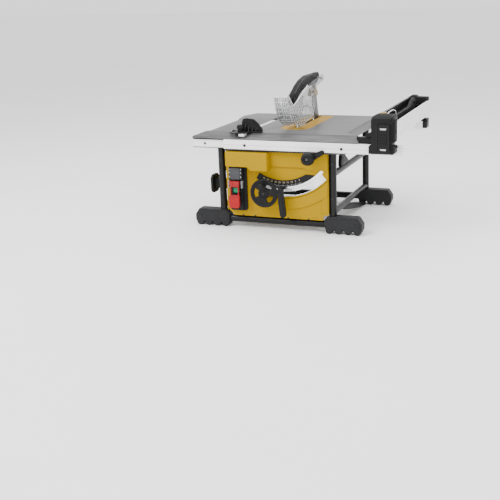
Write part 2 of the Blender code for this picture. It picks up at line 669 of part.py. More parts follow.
def make_lift():
    ax, ay, az = ARBOR
    mz = az - GEAR_DROP
    outer = hull_of_circles((ay, az), 0.0300, (ay, mz), 0.0240)
    inner = hull_of_circles((ay, az), 0.0275, (ay, mz), 0.0215)
    casting = flat("lift_casting", outer, "x", -0.0215, -0.0005)
    arm_x = (-0.0215, -0.0115)
    front, rear = COLUMN_Y
    joined = [
        box("front_arm", (arm_x[0], -0.202, 0.240), (arm_x[1], -0.042, 0.268), True),
        box("rear_arm", (arm_x[0], 0.003, 0.240), (arm_x[1], 0.130, 0.268), True),
        box("front_link", (COLUMN_X + 0.004, front - 0.006, 0.240), (arm_x[1], front + 0.006, 0.268), True),
        box("rear_link", (COLUMN_X + 0.004, rear - 0.006, 0.240), (arm_x[1], rear + 0.006, 0.268), True),
        box("knife_seat", (-0.0125, 0.100, 0.250), (0.0262, 0.130, 0.268), True),
        rod("front_bush", (COLUMN_X, front, 0.234), (COLUMN_X, front, 0.274), 0.011, 12, True),
        rod("rear_bush", (COLUMN_X, rear, 0.234), (COLUMN_X, rear, 0.274), 0.011, 12, True),
        rod("lift_nut", (WHEEL[0], SCREW_Y, 0.236), (WHEEL[0], SCREW_Y, 0.272), 0.011, 12, True),
    ]
    holes = [
        flat("gear_space", inner, "x", -0.0190, -0.0030, True),
        rod("front_column_hole", (COLUMN_X, front, 0.22), (COLUMN_X, front, 0.29), 0.0065, 12, True),
        rod("rear_column_hole", (COLUMN_X, rear, 0.22), (COLUMN_X, rear, 0.29), 0.0065, 12, True),
        rod("screw_hole", (WHEEL[0], SCREW_Y, 0.22), (WHEEL[0], SCREW_Y, 0.29), 0.0065, 12, True),
        rod("arbor_hole", (-0.010, ay, az), (0.010, ay, az), 0.0085, 16, True),
        rod("motor_hole", (-0.030, ay, mz), (-0.010, ay, mz), 0.0060, 12, True),
    ]
    cut(join(casting, *joined), *holes)
    place_all("lift", "cast", casting, *joined, *holes)

    shell = [(0.008, 0.1280), (0.0340, 0.1280), (0.0400, 0.1200), (0.0400, 0.0), (0.0370, 0.0),
             (0.0370, 0.1185),
             (0.0330, 0.1250), (0.008, 0.1250), (0.008, 0.1280)]
    place(turned("motor_housing", shell, (-0.0222, ay, mz), (-1, 0, 0), 24), "lift", "black_plastic")
    core = [(0, 0.1220), (0.0040, 0.1220), (0.0040, 0.1050), (0.0120, 0.1050), (0.0120, 0.0860),
            (0.0260, 0.0860),
            (0.0260, 0.0300), (0.0060, 0.0300), (0.0060, 0.0200), (0.0330, 0.0200), (0.0330, 0.0120),
            (0.0045, 0.0120), (0.0045, -0.0080), (0.0130, -0.0080), (0.0130, -0.0160), (0, -0.0160)]
    core = [(r, h + 0.0012) for r, h in core]
    place(turned("motor_armature", core, (-0.0222, ay, mz), (-1, 0, 0), 16), "armature", "steel")

    shaft = [(0, 0.0180), (0.0070, 0.0180), (0.0070, -0.0014), (0.0190, -0.0014), (0.0190, -0.0090),
             (0.0080, -0.0090), (0.0080, -0.0330), (0.0260, -0.0330), (0.0260, -0.0430), (0, -0.0430)]
    place(turned("arbor_shaft", shaft, (ax, ay, az), (1, 0, 0), 16), "arbor", "steel")
    place(blade(), "arbor", "steel")
    ring = [(0.0075, 0.0060), (0.0190, 0.0045), (0.0190, 0.0015), (0.0075, 0.0015), (0.0075, 0.0060)]
    place(turned("arbor_flange", ring, (ax, ay, az), (1, 0, 0), 16), "arbor", "steel")
    hexagon = arc((ay, az), 0.0110, 0, 300, 5)
    bore = arc((ay, az), 0.0075, 0, 330, 11)
    place(flat("arbor_nut", [hexagon, bore], "x", ax + 0.0063, ax + 0.0135), "arbor", "steel")
    make_shroud()
    make_knife()


TEETH = 24


def blade():
    _, ay, az = ARBOR
    points = []
    for i in range(TEETH):
        start = 360.0 * i / TEETH
        for radius, turn in ((BLADE_R, 0.0), (BLADE_R - 0.0015, 3.0), (BLADE_R - 0.0100, 9.5),
                             (BLADE_R - 0.0090, 14.0)):
            angle = math.radians(start + turn)
            points.append((ay + radius * math.cos(angle), az + radius * math.sin(angle)))
    bore = arc((ay, az), 0.0074, 0, 337.5, 15)
    return flat("saw_blade", [points, bore], "x", BLADE_X - BLADE_HALF_T, BLADE_X + BLADE_HALF_T)


def make_shroud():
    _, ay, az = ARBOR
    top = 0.300
    reach = math.degrees(math.asin((top - az) / 0.1130))
    inside = math.degrees(math.asin((top - az) / 0.1095))
    outline = arc((ay, az), 0.1130, -180 - reach, reach, 20)
    hollow = arc((ay, az), 0.1095, -180 - inside - 1, inside + 1, 20)
    hollow = hollow + [(hollow[-1][0], top + 0.02), (hollow[0][0], top + 0.02)]
    shroud = flat("blade_shroud", outline, "x", 0.0045, 0.0310)
    port_at = (0.0125, 0.210)
    port = rod("dust_port", (port_at[0], 0.060, port_at[1]), (port_at[0], 0.1895, port_at[1]), 0.0260, 16,
               True)
    port_bore = rod("dust_bore", (port_at[0], 0.040, port_at[1]), (port_at[0], 0.210, port_at[1]), 0.0235,
                    16, True)
    space = flat("blade_space", hollow, "x", 0.0070, 0.0400, True)
    shaft_hole = rod("shroud_shaft_hole", (0.0, ay, az), (0.012, ay, az), 0.0115, 16, True)
    casting_room = box("casting_room", (-0.030, -0.10, 0.15), (0.0002, 0.095, 0.33), True)
    cut(join(shroud, port), port_bore, space, shaft_hole, casting_room)
    place_all("lift", "charcoal", shroud, port, port_bore, space, shaft_hole, casting_room)


def make_knife():
    _, ay, az = ARBOR
    front = arc((ay, az), 0.1095, -12, 50, 8)
    outline = [(0.128, 0.246), (0.128, 0.330), (0.112, 0.385), (0.098, 0.440), (0.094, 0.474), (0.060, 0.474)]
    points = front + list(reversed(outline))
    pin_hole = arc(PAWL_PIN, 0.0035, 0, 315, 7)
    knife = flat("riving_knife", [points, pin_hole], "x", 0.0270, 0.0290)
    foot = box("knife_foot_cut", (0.02, 0.07, 0.20), (0.04, 0.0935, 0.3005), True)
    place_all("lift", "steel", cut(knife, foot), foot)

    y, z = PAWL_PIN
    pawl = [(y - 0.006, z + 0.007), (y + 0.008, z + 0.008), (y + 0.034, z - 0.012), (y + 0.036, z - 0.024),
            (y + 0.028, z - 0.019), (y + 0.024, z - 0.026), (y + 0.017, z - 0.019), (y + 0.012, z - 0.024),
            (y - 0.005, z - 0.007)]
    left = flat("anti_kickback_pawls", pawl, "x", 0.0235, 0.0260)
    helpers = [flat("right_pawl", pawl, "x", 0.0300, 0.0325, True),
               rod("pawl_pin", (0.0245, y, z), (0.0315, y, z), 0.0030, 8, True)]
    place_all("pawls", "steel", join(left, *helpers), *helpers)


# ---- blade guard ----
def make_guard():
    y, z = GUARD_PIN
    arm = [(0.118, 0.470), (0.130, 0.478), (0.131, 0.490), (0.122, 0.498), (0.100, 0.499), (-0.023, 0.498),
           (-0.075, 0.488), (-0.115, 0.474), (-0.160, 0.450), (-0.174, 0.438), (-0.172, 0.416),
           (-0.163, 0.411),
           (-0.152, 0.414), (-0.112, 0.436), (-0.072, 0.454), (-0.016, 0.465), (0.064, 0.466)]
    piece = flat("guard_arm", [arm, arc((y, z), 0.0046, 0, 315, 7)], "x", BLADE_X - 0.0100, BLADE_X + 0.0100)
    slot = box("knife_slot", (0.0264, 0.056, 0.44), (0.0296, 0.098, 0.4765), True)
    relief = box("arm_relief", (0.0335, 0.045, 0.44), (0.0500, 0.140, 0.51), True)
    place_all("guard", "black_plastic", cut(piece, slot, relief), slot, relief)

    (l0, l1), (_, r1) = SHIELD_X
    pin = rod("shield_pin", (l0 - 0.0020, y, z), (r1 + 0.0020, y, z), 0.0041, 12)
    heads = [rod("pin_head_left", (l0 - 0.0040, y, z), (l0 - 0.0014, y, z), 0.0090, 12, True),
             rod("pin_head_right", (r1 + 0.0008, y, z), (r1 + 0.0030, y, z), 0.0080, 12, True)]
    place_all("shield_pin", "steel", join(pin, *heads), *heads)
    bush = [arc((y, z), 0.0070, 0, 330, 11), arc((y, z), 0.0045, 0, 330, 11)]
    place(flat("left_shield_bush", bush, "x", l0 - 0.0008, l1 + 0.0008), "left_shield", "brass_bush")

    wall = [(-0.272, 0.452), (-0.262, 0.416), (-0.238, 0.374), (-0.200, 0.353), (-0.141, 0.3375),
            (-0.120, 0.3375),
            (-0.054, 0.347), (-0.009, 0.352), (0.016, 0.389), (0.019, 0.432), (0.045, 0.455), (0.085, 0.464)]
    wall += arc((y, z), 0.0130, -70, 90, 6)
    wall += [(0.060, 0.484), (0.000, 0.477), (-0.062, 0.467), (-0.140, 0.437), (-0.213, 0.4146),
             (-0.255, 0.4490)]
    front = [(-0.272, 0.452), (-0.262, 0.416), (-0.238, 0.374), (-0.200, 0.353), (-0.2015, 0.3560),
             (-0.2355, 0.3765),
             (-0.2595, 0.4165), (-0.2690, 0.4500)]
    for name, (x0, x1), inner, hole in (
        ("left_shield", SHIELD_X[0], BLADE_X - 0.0010, 0.0074),
        ("right_shield", SHIELD_X[1], BLADE_X + 0.0010, 0.0046),
    ):
        shield = flat(name, [wall, arc((y, z), hole, 0, 330, 11)], "x", x0, x1)
        low, high = min(inner, x0 + 0.001), max(inner, x1 - 0.001)
        flange = flat(name + "_flange", front, "x", low, high, True)
        place_all(name, "clear", join(shield, flange), flange)


# ---- miter gauge ----
def make_miter_gauge():
    x, y = MITER_PIVOT
    bar = box("miter_bar", (SLOT_X - 0.0094, -0.300, 0.3240), (SLOT_X + 0.0094, 0.010, 0.3322))
    place(bar, "miter_bar", "steel")

    base = [(x + 0.060, y + 0.012), (x - 0.012, y + 0.012)] + arc((x, y), 0.0520, 165, 255, 8)
    base += [(x + 0.010, y - 0.030), (x + 0.028, y - 0.004), (x + 0.060, y - 0.004)]
    plate = flat("miter_head", base, "z", 0.3336, 0.3375)
    face = [(x - 0.012, 0.3365), (x + 0.060, 0.3365), (x + 0.060, 0.345), (x + 0.030, 0.376),
            (x + 0.004, 0.379),
            (x - 0.008, 0.376), (x - 0.012, 0.366)]
    fence = flat("miter_face", face, "y", y + 0.004, y + 0.012, True)
    ribs = flat("miter_rib", [(x + 0.010, 0.3365), (x + 0.050, 0.3365), (x + 0.034, 0.358),
                              (x + 0.014, 0.366)],
                "y", y - 0.010, y + 0.005, True)
    place_all("miter_head", "black_plastic", join(plate, fence, ribs), fence, ribs)
    knob = [(0, 0.0230), (0.0075, 0.0230), (0.0100, 0.0200), (0.0115, 0.0100), (0.0085, 0.0080),
            (0.0085, 0), (0, 0)]
    place(turned("miter_knob", knob, (x - 0.010, y - 0.018, 0.3378), (0, 0, 1), 16), "miter_knob",
          "black_plastic")


def make_bodies():
    root = bpy.data.objects.new("frame_saw", None)
    SAW.objects.link(root)
    root.location = ROOT_AT
    BODIES["chassis"] = (root, Vector((0, 0, 0)))
    pivot = (BLADE_X, 0, TABLE_Z)
    motor = (ARBOR[0], ARBOR[1], ARBOR[2] - GEAR_DROP)
    guard_pin = (BLADE_X, *GUARD_PIN)
    for name, at, parent in (
        ("throat_plate", (0.0335, -0.018, TABLE_Z), "chassis"),
        ("rails", (0, FRONT_Y, RACK_Z), "chassis"),
        ("pinion", (PINION[0], 0, PINION[1]), "chassis"),
        ("rail_lock", (PINION[0], 0, PINION[1]), "chassis"),
        ("fence", (FENCE_X[0], 0, FENCE_Z), "rails"),
        ("fence_lever", (FENCE_X[0], -0.3395, 0.298), "fence"),
        ("push_stick", (0.381, 0, 0.354), "fence"),
        ("paddle", (-0.136, -0.308, 0.168), "chassis"),
        ("start", (-0.1315, -0.303, 0.1395), "chassis"),
        ("bevel", pivot, "chassis"),
        ("bevel_lock", (LOCK[0], 0, LOCK[1]), "bevel"),
        ("hand_wheel", (WHEEL[0], 0, WHEEL[1]), "bevel"),
        ("crank_knob", (WHEEL[0], 0, WHEEL[1] + KNOB_UP), "hand_wheel"),
        ("lift_screw", (WHEEL[0], SCREW_Y, 0), "bevel"),
        ("lift", (COLUMN_X, 0, 0.2), "bevel"),
        ("armature", motor, "lift"),
        ("arbor", ARBOR, "lift"),
        ("pawls", (BLADE_X, *PAWL_PIN), "lift"),
        ("guard", (BLADE_X, 0.08, 0.474), "lift"),
        ("shield_pin", guard_pin, "guard"),
        ("right_shield", guard_pin, "shield_pin"),
        ("left_shield", guard_pin, "shield_pin"),
        ("miter_bar", (SLOT_X, 0, 0.324), "chassis"),
        ("miter_head", (*MITER_PIVOT, 0.3336), "miter_bar"),
        ("miter_knob", (MITER_PIVOT[0] - 0.010, MITER_PIVOT[1] - 0.018, 0.3378), "miter_head"),
    ):
        body(name, at, parent)


make_bodies()
make_table()
make_rails()
make_cage()
make_feet()
make_front_panel()
make_side_panel()
make_bevel_fixed_parts()
make_switch()
make_side_fittings()
make_fence()
make_carriage()
make_hand_wheel()
make_lift()
make_guard()
make_miter_gauge()
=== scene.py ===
"""Looks for the compact table saw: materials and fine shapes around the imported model.

Shapes are in metres in the cage's frame: x = 0 midway between the cage's posts, z = 0 on the floor, and the
operator on the -Y side. Every piece's object sits at ORIGIN, which carries that frame into the row frame.
"""

import math

import bmesh
import bpy
from mathutils import Matrix, Vector
from mathutils.geometry import tessellate_polygon


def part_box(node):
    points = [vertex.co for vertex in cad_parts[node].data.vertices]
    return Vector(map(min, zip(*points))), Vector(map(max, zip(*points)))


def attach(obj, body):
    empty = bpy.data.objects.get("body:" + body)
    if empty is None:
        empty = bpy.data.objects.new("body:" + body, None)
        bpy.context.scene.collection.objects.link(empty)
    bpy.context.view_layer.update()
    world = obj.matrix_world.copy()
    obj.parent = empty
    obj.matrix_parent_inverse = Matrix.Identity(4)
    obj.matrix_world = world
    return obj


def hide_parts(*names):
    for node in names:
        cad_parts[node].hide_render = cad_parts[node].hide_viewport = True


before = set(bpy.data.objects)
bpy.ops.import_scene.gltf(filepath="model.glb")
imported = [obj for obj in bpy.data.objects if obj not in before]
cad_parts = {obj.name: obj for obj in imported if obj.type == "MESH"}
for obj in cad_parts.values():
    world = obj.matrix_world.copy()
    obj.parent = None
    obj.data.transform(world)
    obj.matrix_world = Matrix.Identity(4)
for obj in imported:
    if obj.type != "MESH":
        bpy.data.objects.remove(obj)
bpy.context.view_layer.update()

# ---- driving dimensions (metres, cage frame), worked out from the frame ----
HOOP_R = 0.0125
SIDE_TUBE_R = 0.0105
FRONT_Y = -0.256
cage_low, cage_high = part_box("cage_frame")
ORIGIN = Vector(((cage_low.x + cage_high.x) / 2, cage_low.y + HOOP_R - FRONT_Y, 0))


def node_box(node):
    """Lowest and highest corner of a CAD node, in the cage's frame."""
    low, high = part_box(node)
    return low - ORIGIN, high - ORIGIN


def node_centre(node):
    """Middle (x, y, z) of a CAD node's box, in the cage's frame."""
    return tuple((a + b) / 2 for a, b in zip(*node_box(node)))


TABLE_Z = node_box("table_top")[1].z
BLADE_X, ARBOR_Y, ARBOR_Z = node_centre("saw_blade")
BLADE_R = node_box("saw_blade")[1].z - ARBOR_Z
REAR_Y = cage_high.y - HOOP_R - ORIGIN.y
POST_X = (cage_high.x - cage_low.x) / 2 - HOOP_R
RACK_X = (-0.168, 0.252)        # first and last tooth of both racks
RACK_END = RACK_X[1] + 0.004
TO_FRONT, TO_REAR, UP = (0, -1, 0), (0, 1, 0), (0, 0, 1)

EDGE_WIDTH = 0.0006             # bevel of an ordinary moulded or sawn edge
SHARP_ANGLE = math.radians(38)  # edges steeper than this are bevelled and not shaded smooth


# ---- material helpers ----
class Finish:
    """A Principled material with procedural colour, roughness and bump."""

    def __init__(self, name, **sockets):
        self.mat = bpy.data.materials.new(name)
        self.mat.use_nodes = True
        self.tree = self.mat.node_tree
        self.shader = self.tree.nodes["Principled BSDF"]
        for socket, value in sockets.items():
            self.shader.inputs[socket.replace("_", " ")].default_value = value
        self.where = self.tree.nodes.new("ShaderNodeTexCoord").outputs["Object"]

    def node(self, kind, **values):
        made = self.tree.nodes.new("ShaderNode" + kind)
        for key, value in values.items():
            if key in made.inputs:
                made.inputs[key].default_value = value
            else:
                setattr(made, key, value)
        return made

    def link(self, output, target):
        self.tree.links.new(output, target)

    def stretched(self, scale):
        mapping = self.node("Mapping")
        mapping.inputs["Scale"].default_value = scale
        self.link(self.where, mapping.inputs["Vector"])
        return mapping.outputs["Vector"]

    def noise(self, scale, detail=4.0, rough=0.55, where=None):
        made = self.node("TexNoise", Scale=scale, Detail=detail, Roughness=rough)
        self.link(where or self.where, made.inputs["Vector"])
        return made.outputs["Fac"]

    def ramp(self, source, stops):
        made = self.node("ValToRGB")
        elements = made.color_ramp.elements
        while len(elements) < len(stops):
            elements.new(0.5)
        for element, (at, value) in zip(elements, stops):
            element.position = at
            colour = value if isinstance(value, tuple) else (value, value, value)
            element.color = (*colour, 1)
        self.link(source, made.inputs["Fac"])
        return made.outputs["Color"]

    def blend(self, factor, a, b, mode="MIX"):
        made = self.node("Mix", data_type="RGBA", blend_type=mode)
        for socket, value in ((made.inputs[0], factor), (made.inputs[6], a), (made.inputs[7], b)):
            if isinstance(value, bpy.types.NodeSocket):
                self.link(value, socket)
            elif isinstance(value, tuple):
                socket.default_value = (*value, 1)
            else:
                socket.default_value = value
        return made.outputs[2]

    def varied(self, source, colour, dark, light):
        """The colour, drifting from one strength to another as the source rises."""
        return self.ramp(source, [(0.3, shade(colour, dark)), (0.7, shade(colour, light))])

    def dimmed(self, base, source, low, dark, high):
        """The base colour, darkened where the source is weak."""
        return self.blend(1.0, base, self.ramp(source, [(low, dark), (high, 1.0)]), "MULTIPLY")

    def axis(self, name):
        made = self.node("SeparateXYZ")
        self.link(self.where, made.inputs[0])
        return made.outputs[name]

    def colour(self, output):
        self.link(output, self.shader.inputs["Base Color"])

    def roughness(self, source, low, high):
        self.link(self.ramp(source, [(0.25, low), (0.75, high)]), self.shader.inputs["Roughness"])

    def bump(self, source, strength, distance, under=None):
        made = self.node("Bump", Strength=strength, Distance=distance)
        self.link(source, made.inputs["Height"])
        if under:
            self.link(under, made.inputs["Normal"])
        return made.outputs["Normal"]

    def normal(self, output):
        self.link(output, self.shader.inputs["Normal"])
        return self.mat


def shade(colour, factor):
    """The colour, lighter or darker by a factor."""
    return tuple(min(1.0, c * factor) for c in colour)


def moulded(name, colour, low=0.38, high=0.6, grain=1400.0, depth=0.35, spread=0.18, shine=0.17):
    """Moulded plastic: fine spark texture, slow colour drift and rubbed, slightly glossier patches."""
    f = Finish(name, Specular_IOR_Level=shine)
    base = f.varied(f.noise(9.0, 3.0), colour, 1 - spread, 1 + spread)
    f.colour(f.dimmed(base, f.noise(grain * 0.5, 2.0), 0.45, 0.82, 0.6))
    f.roughness(f.noise(22.0, 5.0, 0.65), low, high)
    coarse = f.bump(f.noise(60.0, 3.0), 0.1, 0.0006)
    return f.normal(f.bump(f.noise(grain, 2.0), depth, 0.00012, coarse))


def powder(name, colour, low=0.28, high=0.42, spread=0.07, shine=0.2, coat=0.0):
    """Powder coat on metal: orange peel, faint clouding and handling scuffs."""
    f = Finish(name, Coat_Weight=coat, Coat_Roughness=0.25, Specular_IOR_Level=shine)
    base = f.varied(f.noise(7.0, 4.0, 0.6), colour, 1 - spread, 1 + spread * 0.6)
    scuffs = f.noise(46.0, 8.0, 0.75, f.stretched((1.0, 1.0, 0.35)))
    marks = f.ramp(scuffs, [(0.66, 0.0), (0.74, 0.35)])
    f.colour(f.blend(marks, base, shade(colour, 0.82)))
    f.roughness(f.noise(18.0, 6.0, 0.7), low, high)
    peel = f.bump(f.noise(420.0, 2.0), 0.16, 0.00025)
    return f.normal(f.bump(f.noise(5.0, 2.0), 0.12, 0.004, peel))


def extruded(name, colour, along, low=0.24, high=0.4, metallic=0.9, lines=520.0):
    """Extruded or drawn metal: fine die lines along one axis, with faint cloudy anodising."""
    f = Finish(name, Metallic=metallic, Anisotropic=0.35)
    stretch = {"x": (0.02, 1, 1), "y": (1, 0.02, 1), "z": (1, 1, 0.02)}[along]
    drawn = f.noise(lines, 4.0, 0.6, f.stretched(stretch))
    base = f.varied(f.noise(11.0, 3.0), colour, 0.93, 1.0)
    f.colour(f.dimmed(base, drawn, 0.3, 0.86, 0.65))
    f.roughness(drawn, low, high)
    return f.normal(f.bump(drawn, 0.12, 0.00015))


def cast_metal(name, colour, metallic=0.75, low=0.42, high=0.62):
    """Die-cast alloy: pebbly skin, flow marks and darker hollows."""
    f = Finish(name, Metallic=metallic)
    pebbles = f.noise(380.0, 4.0, 0.6)
    flow = f.noise(14.0, 6.0, 0.65)
    f.colour(f.dimmed(f.varied(flow, colour, 0.75, 1.1), pebbles, 0.35, 0.8, 0.6))
    f.roughness(flow, low, high)
    return f.normal(f.bump(pebbles, 0.35, 0.0004))


def table_metal():
    """Ground table: fine grinding lines front to back, cloudy stains and a darker, streaked front lip."""
    f = Finish("table_metal", Metallic=0.15, Specular_IOR_Level=0.3)
    ground = f.noise(620.0, 5.0, 0.7, f.stretched((1.0, 0.03, 1.0)))
    stains = f.noise(6.5, 6.0, 0.62)
    cloudy = [(0.25, (0.094, 0.095, 0.095)), (0.55, (0.112, 0.113, 0.113)), (0.8, (0.13, 0.131, 0.13))]
    streaky = [(0.35, (0.052, 0.052, 0.054)), (0.58, (0.105, 0.105, 0.106)), (0.75, (0.13, 0.13, 0.13))]
    streaks = f.ramp(f.noise(90.0, 6.0, 0.7, f.stretched((0.1, 1.0, 1.6))), streaky)
    lip = f.node("MapRange")
    f.link(f.axis("Y"), lip.inputs["Value"])
    front = node_box("table_top")[0].y + ORIGIN.y
    lip.inputs["From Min"].default_value = front + 0.036
    lip.inputs["From Max"].default_value = front + 0.029
    lined = f.dimmed(f.ramp(stains, cloudy), ground, 0.3, 0.88, 0.65)
    f.colour(f.blend(lip.outputs["Result"], lined, streaks))
    f.roughness(stains, 0.36, 0.52)
    return f.normal(f.bump(ground, 0.14, 0.0002, f.bump(f.noise(3.0), 0.05, 0.004)))


def clear_plastic(name, alpha, colour):
    """Clear polycarbonate seen as a thin, slightly scratched and dusty skin."""
    f = Finish(name, Roughness=0.12, IOR=1.45, Alpha=alpha, Specular_IOR_Level=0.8)
    f.colour(f.varied(f.noise(24.0, 6.0, 0.7), colour, 0.9, 1.08))
    cover = f.ramp(f.noise(60.0, 5.0, 0.7), [(0.3, alpha * 0.75), (0.7, min(1.0, alpha * 1.35))])
    f.link(cover, f.shader.inputs["Alpha"])
    f.roughness(f.noise(90.0, 5.0, 0.7), 0.06, 0.24)
    return f.normal(f.bump(f.noise(140.0, 3.0), 0.05, 0.0006))


def turned_steel(name, colour, centre, low=0.16, high=0.34):
    """Disc ground on a lathe: rings about the X axis through the centre (y, z) of the row frame."""
    f = Finish(name, Metallic=1.0)
    offset = f.node("Mapping")
    offset.inputs["Location"].default_value = (0, -centre[0], -centre[1])
    f.link(f.where, offset.inputs["Vector"])
    flat_vector = f.node("VectorMath", operation="MULTIPLY")
    flat_vector.inputs[1].default_value = (0, 1, 1)
    f.link(offset.outputs["Vector"], flat_vector.inputs[0])
    radius = f.node("VectorMath", operation="LENGTH")
    f.link(flat_vector.outputs["Vector"], radius.inputs[0])
    wave = f.node("TexNoise", noise_dimensions="1D", Scale=900.0, Detail=3.0)
    f.link(radius.outputs["Value"], wave.inputs["W"])
    rings = wave.outputs["Fac"]
    pitch = f.noise(16.0, 6.0, 0.7)
    base = f.ramp(pitch, [(0.3, shade(colour, 0.72)), (0.6, colour)])
    f.colour(f.dimmed(base, rings, 0.3, 0.84, 0.65))
    f.roughness(rings, low, high)
    return f.normal(f.bump(rings, 0.12, 0.0002))


# ---- materials ----
BLACK = (0.0065, 0.0065, 0.0072)
YELLOW = (0.325, 0.195, 0.0002)
MAT = {
    "table": table_metal(),
    "rail": extruded("rail_aluminium", (0.96, 0.96, 0.96), "x", metallic=0.1),
    "fence": extruded("fence_aluminium", (0.95, 0.95, 0.95), "y", metallic=0.1),
    "yellow": powder("yellow_coat", YELLOW, 0.45, 0.62, 0.05, 0.05),
    # A darker copy of the yellow coat, used only for shade painted into the front panel's groove and under
    # its steps.
    "yellow_painted_shade": powder("yellow_shadow_coat", (0.3, 0.165, 0.0005), 0.42, 0.6, 0.05, 0.08),
    "throat": powder("throat_coat", (0.36, 0.196, 0.002), 0.4, 0.55, 0.06, 0.12),
    "tube": powder("black_coat", (0.005, 0.005, 0.0055), 0.26, 0.42, 0.2, 0.2, 0.05),
    "black": moulded("black_moulding", BLACK),
    "glossy": moulded("glossy_black", (0.004, 0.004, 0.0045), 0.34, 0.48, 700.0, 0.08, 0.1, 0.1),
    "soft_black": moulded("soft_grip", (0.008, 0.008, 0.009), 0.5, 0.7, 900.0, 0.5, shine=0.2),
    "charcoal": moulded("charcoal_moulding", (0.016, 0.0162, 0.0175), 0.42, 0.62),
    "grey": moulded("grey_moulding", (0.05, 0.052, 0.056), 0.3, 0.5),
    "silver": moulded("pale_moulding", (0.3, 0.31, 0.31), 0.35, 0.5),
    "red": moulded("red_moulding", (0.3, 0.004, 0.006), 0.22, 0.36, 1600.0, 0.12, 0.08, 0.3),
    "red_pad": moulded("red_pad", (0.34, 0.006, 0.009), 0.45, 0.6, 900.0, 0.4, 0.1, 0.2),
    "green": moulded("green_moulding", (0.004, 0.2, 0.085), 0.24, 0.4, 1600.0, 0.15, 0.1),
    "steel": extruded("drawn_steel", (0.55, 0.56, 0.57), "z", 0.22, 0.4, 1.0),
    "knife": extruded("knife_steel", (0.1, 0.1, 0.105), "z", 0.3, 0.5, 0.8),
    "bright": extruded("bright_steel", (0.95, 0.96, 0.97), "x", 0.14, 0.28, 0.55, 300.0),
    "bar": extruded("bar_steel", (0.85, 0.86, 0.87), "y", 0.2, 0.34, 0.4),
    "screw": cast_metal("black_oxide", (0.012, 0.012, 0.013), 0.3, 0.3, 0.45),
    "cast": cast_metal("cast_alloy", (0.36, 0.37, 0.38)),
    "brass": cast_metal("zinc_chromate", (0.36, 0.2, 0.03), 0.4, 0.25, 0.45),
    "copper": extruded("copper_winding", (0.6, 0.25, 0.09), "x", 0.3, 0.45, 0.9, 900.0),
    "blade": turned_steel("blade_steel", (0.5, 0.51, 0.52), (ARBOR_Y + ORIGIN.y, ARBOR_Z)),
    "carbide": cast_metal("carbide", (0.2, 0.2, 0.21), 0.9, 0.3, 0.42),
    "clear": clear_plastic("clear_skin", 0.34, (0.06, 0.063, 0.066)),
    # The shields' ribs are real; their near-white colour is a painted highlight, as light catching clear
    # ribs.
    "rib": clear_plastic("clear_rib_painted_highlight", 0.98, (0.9, 0.91, 0.92)),
    "ink": moulded("scale_ink", (0.42, 0.33, 0.2), 0.5, 0.6, 800.0, 0.05, 0.05),
    "pale": moulded("pale_ink", (0.55, 0.55, 0.53), 0.5, 0.6, 800.0, 0.05, 0.05),
}


# ---- mesh helpers ----
def arc(centre, radius, first, last, steps):
    """Points on a circle between two angles in degrees."""
    out = []
    for i in range(steps + 1):
        angle = math.radians(first + (last - first) * i / steps)
        out.append((centre[0] + radius * math.cos(angle), centre[1] + radius * math.sin(angle)))
    return out


def circle(centre, radius, steps=24):
    """A closed circle as an outline or a hole."""
    return arc(centre, radius, 0, 360 - 360 / steps, steps - 1)


def band(centre, outer, inner, first, last, steps):
    """A curved strip between two radii."""
    return arc(centre, outer, first, last, steps) + arc(centre, inner, last, first, steps)


def hanging_arc(radius, first, last, steps):
    """Points (x, z) about the bevel pivot, by angle from straight down towards +X."""
    return arc((BLADE_X, TABLE_Z), radius, first - 90, last - 90, steps)


def hanging_band(outer, inner, first, last, steps):
    """A curved strip about the bevel pivot."""
    return hanging_arc(outer, first, last, steps) + hanging_arc(inner, last, first, steps)


def around(count):
    """Cosine and sine of equally spaced angles of one full turn."""
    angles = [2 * math.pi * i / count for i in range(count)]
    return [(math.cos(angle), math.sin(angle)) for angle in angles]


def spaced(start, stop, step):
    """Values from start up to stop, without stop itself."""
    out = []
    while start < stop:
        out.append(start)
        start += step
    return out


def rounded(low, high, radius, steps=5):
    """A rectangle between two corners, with round corners."""
    (u0, v0), (u1, v1) = low, high
    out = []
    for u, v, start in ((u1 - radius, v0 + radius, -90), (u1 - radius, v1 - radius, 0),
                        (u0 + radius, v1 - radius, 90), (u0 + radius, v0 + radius, 180)):
        out += arc((u, v), radius, start, start + 90, steps)
    return out


def softened(outline, radius, steps=4):
    """The same outline with every corner replaced by a short curve."""
    out = []
    count = len(outline)
    for i, point in enumerate(outline):
        here = Vector(point)
        before, after = Vector(outline[i - 1]), Vector(outline[(i + 1) % count])
        reach_in = min(radius, (here - before).length * 0.45)
        reach_out = min(radius, (after - here).length * 0.45)
        start = here + (before - here).normalized() * reach_in
        end = here + (after - here).normalized() * reach_out
        for k in range(steps + 1):
            t = k / steps
            out.append(tuple((1 - t) ** 2 * start + 2 * t * (1 - t) * here + t * t * end))
    return out


# Where a flat outline's (u, v) and the depth w across it go, for a piece that is flat along each axis.
PLANES = {
    "x": lambda u, v, w: (w, u, v),
    "y": lambda u, v, w: (u, w, v),
    "z": lambda u, v, w: (u, v, w),
}


def prism(bm, outline, axis, low, high, holes=()):
    """A flat piece. Its outline is (y, z) along x, (x, z) along y and (x, y) along z."""
    put = PLANES[axis]
    loops = [list(outline)] + [list(h) for h in holes]
    rings = []
    for loop in loops:
        rings.append(([bm.verts.new(put(u, v, low)) for u, v in loop],
                      [bm.verts.new(put(u, v, high)) for u, v in loop]))
    for bottom, top in rings:
        for i in range(len(bottom)):
            j = (i + 1) % len(bottom)
            bm.faces.new((bottom[i], bottom[j], top[j], top[i]))
    if len(loops) == 1:
        bm.faces.new(rings[0][0])
        bm.faces.new(rings[0][1])
        return
    flat_points = [[Vector((u, v, 0)) for u, v in loop] for loop in loops]
    for side in (0, 1):
        verts = [v for ring in rings for v in ring[side]]
        for a, b, c in tessellate_polygon(flat_points):
            if len({a, b, c}) == 3:
                bm.faces.new((verts[a], verts[b], verts[c]))


